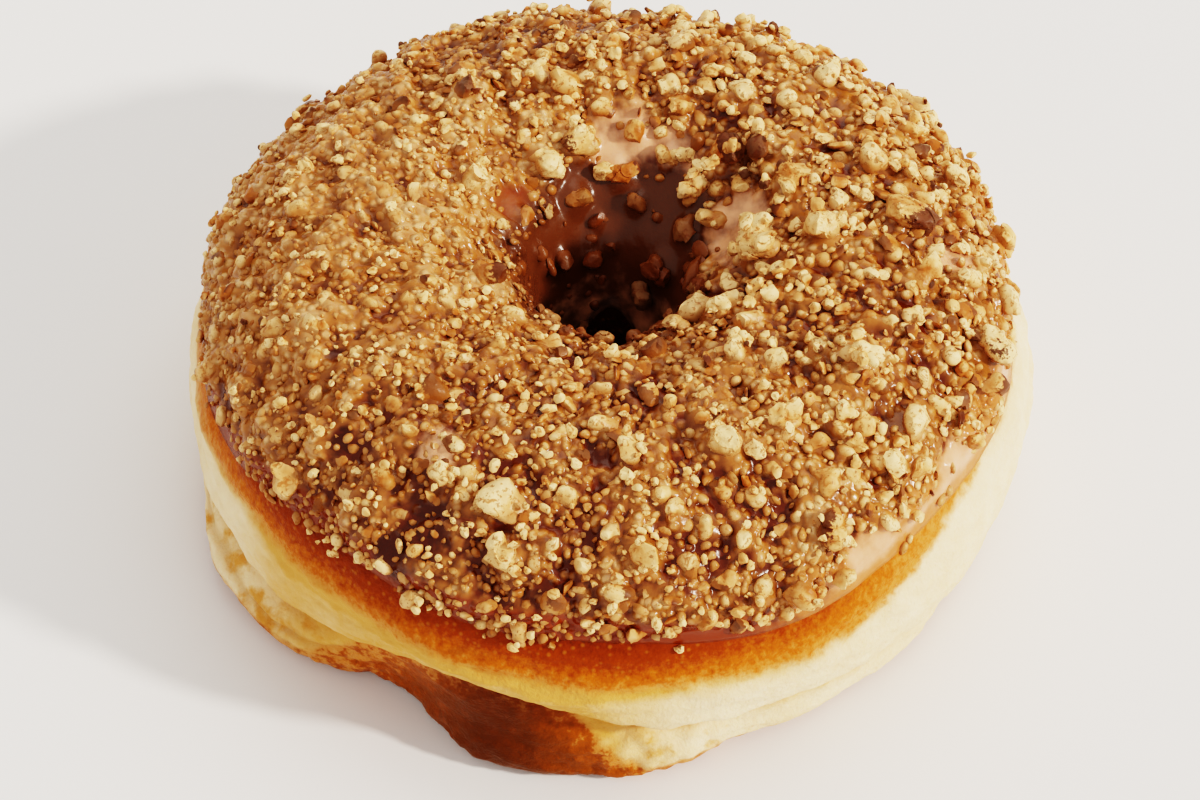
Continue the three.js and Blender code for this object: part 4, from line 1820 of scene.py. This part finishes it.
            if batch.kind == Kind.CHUNKS:
                mine = np.array([k])
            if len(mine) == 0:
                continue
            model, faces = shape.template(1000 * batch.seed + k)
            width = size[mine, None]
            spun = np.einsum("nij,vj->nvi", turn[mine], model) * width[..., None]
            stand = np.einsum("nvi,ni->nv", spun, out[mine])
            spun = spun - self.squash * stand[..., None] * out[mine, None, :]
            stand = (1 - self.squash) * stand
            level = (rise[mine, None] + stand - floor[mine, None]) / width
            bare = dryness[mine, None] * np.clip((level - low) / (high - low), 0, 1)
            side = np.einsum("nvi,ni->nv", spun, turn[mine][:, :, 0]) / width
            skinned = grains.skin[mine, None]
            skin = np.clip(skinned + self.skin_slope * side + self.skin_shift, 0, 1)
            skin = np.where(skinned > 0, skin, 0)
            # Painted shade and light: a grain's crevices darker, its knobs paler
            crevice_shade = self.crevice_shade * (self.crevice_shade_from - np.linalg.norm(model, axis=1))
            tint = grains.tint[mine, None] + crevice_shade
            numbers = faces[None] + (offset + np.arange(len(mine)) * len(model))[:, None, None]
            shaded_in_hole = np.broadcast_to(drowned[mine, None], bare.shape)
            parts.append((
                (spun + centre[mine, None]).reshape(-1, 3), numbers.reshape(-1, 3),
                tint.ravel(), bare.ravel(), skin.ravel(), shaded_in_hole.ravel(),
            ))
            offset += len(mine) * len(model)
        points, triangles, tint, bare, skin, shaded_in_hole = (np.concatenate(c) for c in zip(*parts))
        for place in zip(grains.theta, grains.psi, size, rise):
            self.cap(*(float(v) for v in place))
        mesh = triangle_mesh(batch.kind.value, points, triangles)
        add_values(mesh, {"tint": tint, "bare": bare, "skin": skin, "drowned": shaded_in_hole})
        piece = new_piece(batch.kind.value, mesh)
        mesh.set_sharp_from_angle(angle=math.radians(shape.crisp))
        return piece

    def cap(self, theta: float, psi: float, size: float, rise: float) -> None:
        """Adds a grain's upper half to the map of what is uppermost.

        Args:
            theta: Angle around the ring, in radians.
            psi: Angle over the tube, in radians.
            size: The grain's size in millimetres.
            rise: How far its middle stands off the dough.
        """
        coat = self.coat
        radius = self.cap_width * size
        rows, columns = coat.window(theta, psi, radius)
        if len(columns) == 0:
            return
        block = np.ix_(rows, columns)
        middle, _ = coat.skin.at(np.array([theta]), np.array([psi]))
        apart = np.linalg.norm(coat.base[block] - middle[0], axis=2) / radius
        dome = rise + self.cap_height * radius * np.sqrt(np.clip(1 - apart**2, 0, 1))
        self.top[block] = np.maximum(self.top[block], np.where(apart < 1, dome, 0))

    def build(self) -> list[tuple[Batch, bpy.types.Object]]:
        """Lays down every kind, from the set chunks to the loose crumbs.

        Returns:
            Each batch with its finished piece.
        """
        return [(batch, self.join(batch, grains)) for batch, grains in self.planned]


def rotation_matrices(quaternion: np.ndarray) -> np.ndarray:
    """The rotation matrix of each unit quaternion.

    Args:
        quaternion: Array of four numbers a row.

    Returns:
        Array of rows by three by three.
    """
    w, x, y, z = quaternion.T
    rows = [
        [1 - 2 * (y * y + z * z), 2 * (x * y - z * w), 2 * (x * z + y * w)],
        [2 * (x * y + z * w), 1 - 2 * (x * x + z * z), 2 * (y * z - x * w)],
        [2 * (x * z - y * w), 2 * (y * z + x * w), 1 - 2 * (x * x + y * y)],
    ]
    return np.array(rows).transpose(2, 0, 1)


def triangle_mesh(name: str, points: np.ndarray, triangles: np.ndarray) -> bpy.types.Mesh:
    """A mesh from joined arrays of points, in millimetres, and triangles."""
    mesh = bpy.data.meshes.new(name)
    mesh.vertices.add(len(points))
    mesh.vertices.foreach_set("co", (points * MM).astype(np.float32).ravel())
    mesh.loops.add(3 * len(triangles))
    mesh.loops.foreach_set("vertex_index", triangles.astype(np.int32).ravel())
    mesh.polygons.add(len(triangles))
    mesh.polygons.foreach_set("loop_start", np.arange(0, 3 * len(triangles), 3, dtype=np.int32))
    mesh.update(calc_edges=True)
    mesh.validate()
    return mesh


# ---- The studio ----


@dataclass(frozen=True)
class Studio:
    """Pale paper, one low lamp from the right, soft light all round, and the camera."""

    elevation: float = 51.0  # degrees that the camera looks down
    distance: float = 350.0
    target_height: float = 14.0
    aim_right: float = -0.95  # where the camera aims, from the target, in its own picture
    aim_up: float = -3.81
    lens: float = 88.2
    lamp_azimuth: float = -17.0
    lamp_elevation: float = 29.0
    lamp_angle: float = 4.5
    lamp_strength: float = 2.75
    sky_strength: float = 0.72
    soft_power: float = 6.0  # watts, of the large soft light behind on the right
    soft_size: float = 1.2  # metres
    soft_place: tuple[float, float, float] = (0.3, 0.7, 1.3)
    lamp_colour: str = "FFF4E6"
    soft_colour: str = "FFF9F0"
    sky_colour: str = "FAF7F2"
    floor_size: float = 3.0  # metres, from its middle to its sides

    def camera(self) -> None:
        """Looks down on the ring from the front, as the picture does."""
        tilt = math.radians(self.elevation)
        target = Vector((0, 0, self.target_height))
        place = target + self.distance * Vector((0, -math.cos(tilt), math.sin(tilt)))
        up = Vector((0, math.sin(tilt), math.cos(tilt)))
        aim = target + Vector((self.aim_right, 0, 0)) + self.aim_up * up
        data = bpy.data.cameras.new("camera")
        data.lens = self.lens
        data.clip_start = 10 * MM
        camera = bpy.data.objects.new("camera", data)
        camera.location = place * MM
        camera.rotation_euler = (aim - place).to_track_quat("-Z", "Y").to_euler()
        bpy.context.scene.collection.objects.link(camera)
        bpy.context.scene.camera = camera

    def lights(self) -> None:
        """A low lamp like a window's light, a large soft light behind, and a pale surround."""
        turn, tilt = math.radians(self.lamp_azimuth), math.radians(self.lamp_elevation)
        towards = Vector(
            (math.cos(turn) * math.cos(tilt), math.sin(turn) * math.cos(tilt), math.sin(tilt))
        )
        lamp = {"energy": self.lamp_strength, "angle": math.radians(self.lamp_angle)}
        soft = {"energy": self.soft_power, "size": self.soft_size}
        for name, kind, place, colour, settings in (
            ("window_light", "SUN", towards, self.lamp_colour, lamp),
            ("soft_light", "AREA", Vector(self.soft_place), self.soft_colour, soft),
        ):
            data = bpy.data.lights.new(name, kind)
            data.color = srgb(colour)[:3]
            for key, value in settings.items():
                setattr(data, key, value)
            light = bpy.data.objects.new(name, data)
            light.location = place
            light.rotation_euler = (-place).to_track_quat("-Z", "Y").to_euler()
            bpy.context.scene.collection.objects.link(light)
        world = bpy.data.worlds.new("studio")
        world.use_nodes = True
        surround = world.node_tree.nodes["Background"]
        surround.inputs["Color"].default_value = srgb(self.sky_colour)
        surround.inputs["Strength"].default_value = self.sky_strength
        bpy.context.scene.world = world
        bpy.context.scene.view_settings.view_transform = "Filmic"
        bpy.context.scene.view_settings.look = "Very High Contrast"

    def floor(self) -> bpy.types.Object:
        """A wide sheet under the ring.

        Returns:
            The floor's object.
        """
        bm = bmesh.new()
        bmesh.ops.create_grid(bm, x_segments=1, y_segments=1, size=self.floor_size)
        mesh = bpy.data.meshes.new("paper_floor")
        bm.to_mesh(mesh)
        bm.free()
        floor = bpy.data.objects.new("paper_floor", mesh)
        bpy.context.scene.collection.objects.link(floor)
        mesh.materials.append(MattPaper().build())
        return floor


def dress(piece: bpy.types.Object, slot: str, *nodes: str) -> None:
    """Lets a piece ride with the body and stand for its nodes, and reports it."""
    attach(piece, "root")
    if nodes:
        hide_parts(*nodes)
    triangles = sum(len(p.vertices) - 2 for p in piece.data.polygons)
    log.info("%s: %d triangles", piece.name, triangles)


def main() -> None:
    """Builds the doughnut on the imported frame, and the studio round it."""
    logging.basicConfig(level=logging.INFO, format="%(message)s")
    studio = Studio()
    studio.camera()
    studio.lights()
    studio.floor()
    form = RingForm()
    dress(DoughRing(form).build(), "fried_dough", "dough_ring")
    coat = GlazeCoat(SkinMap(form))
    topping = Topping(coat)
    dress(coat.build(), "nutty_glaze", "nut_glaze")
    coated = ChoppedNut("roasted_nut_in_syrup").build()
    dry = ChoppedNut("roasted_nut_dry", syrup_share=0.45, roughness=0.6).build()
    for batch, piece in topping.build():
        piece.data.materials.append(dry if batch.seat == Seat.LOOSE else coated)
        dress(piece, "nutty_glaze", "nut_glaze")


if __name__ == "__main__":
    main()
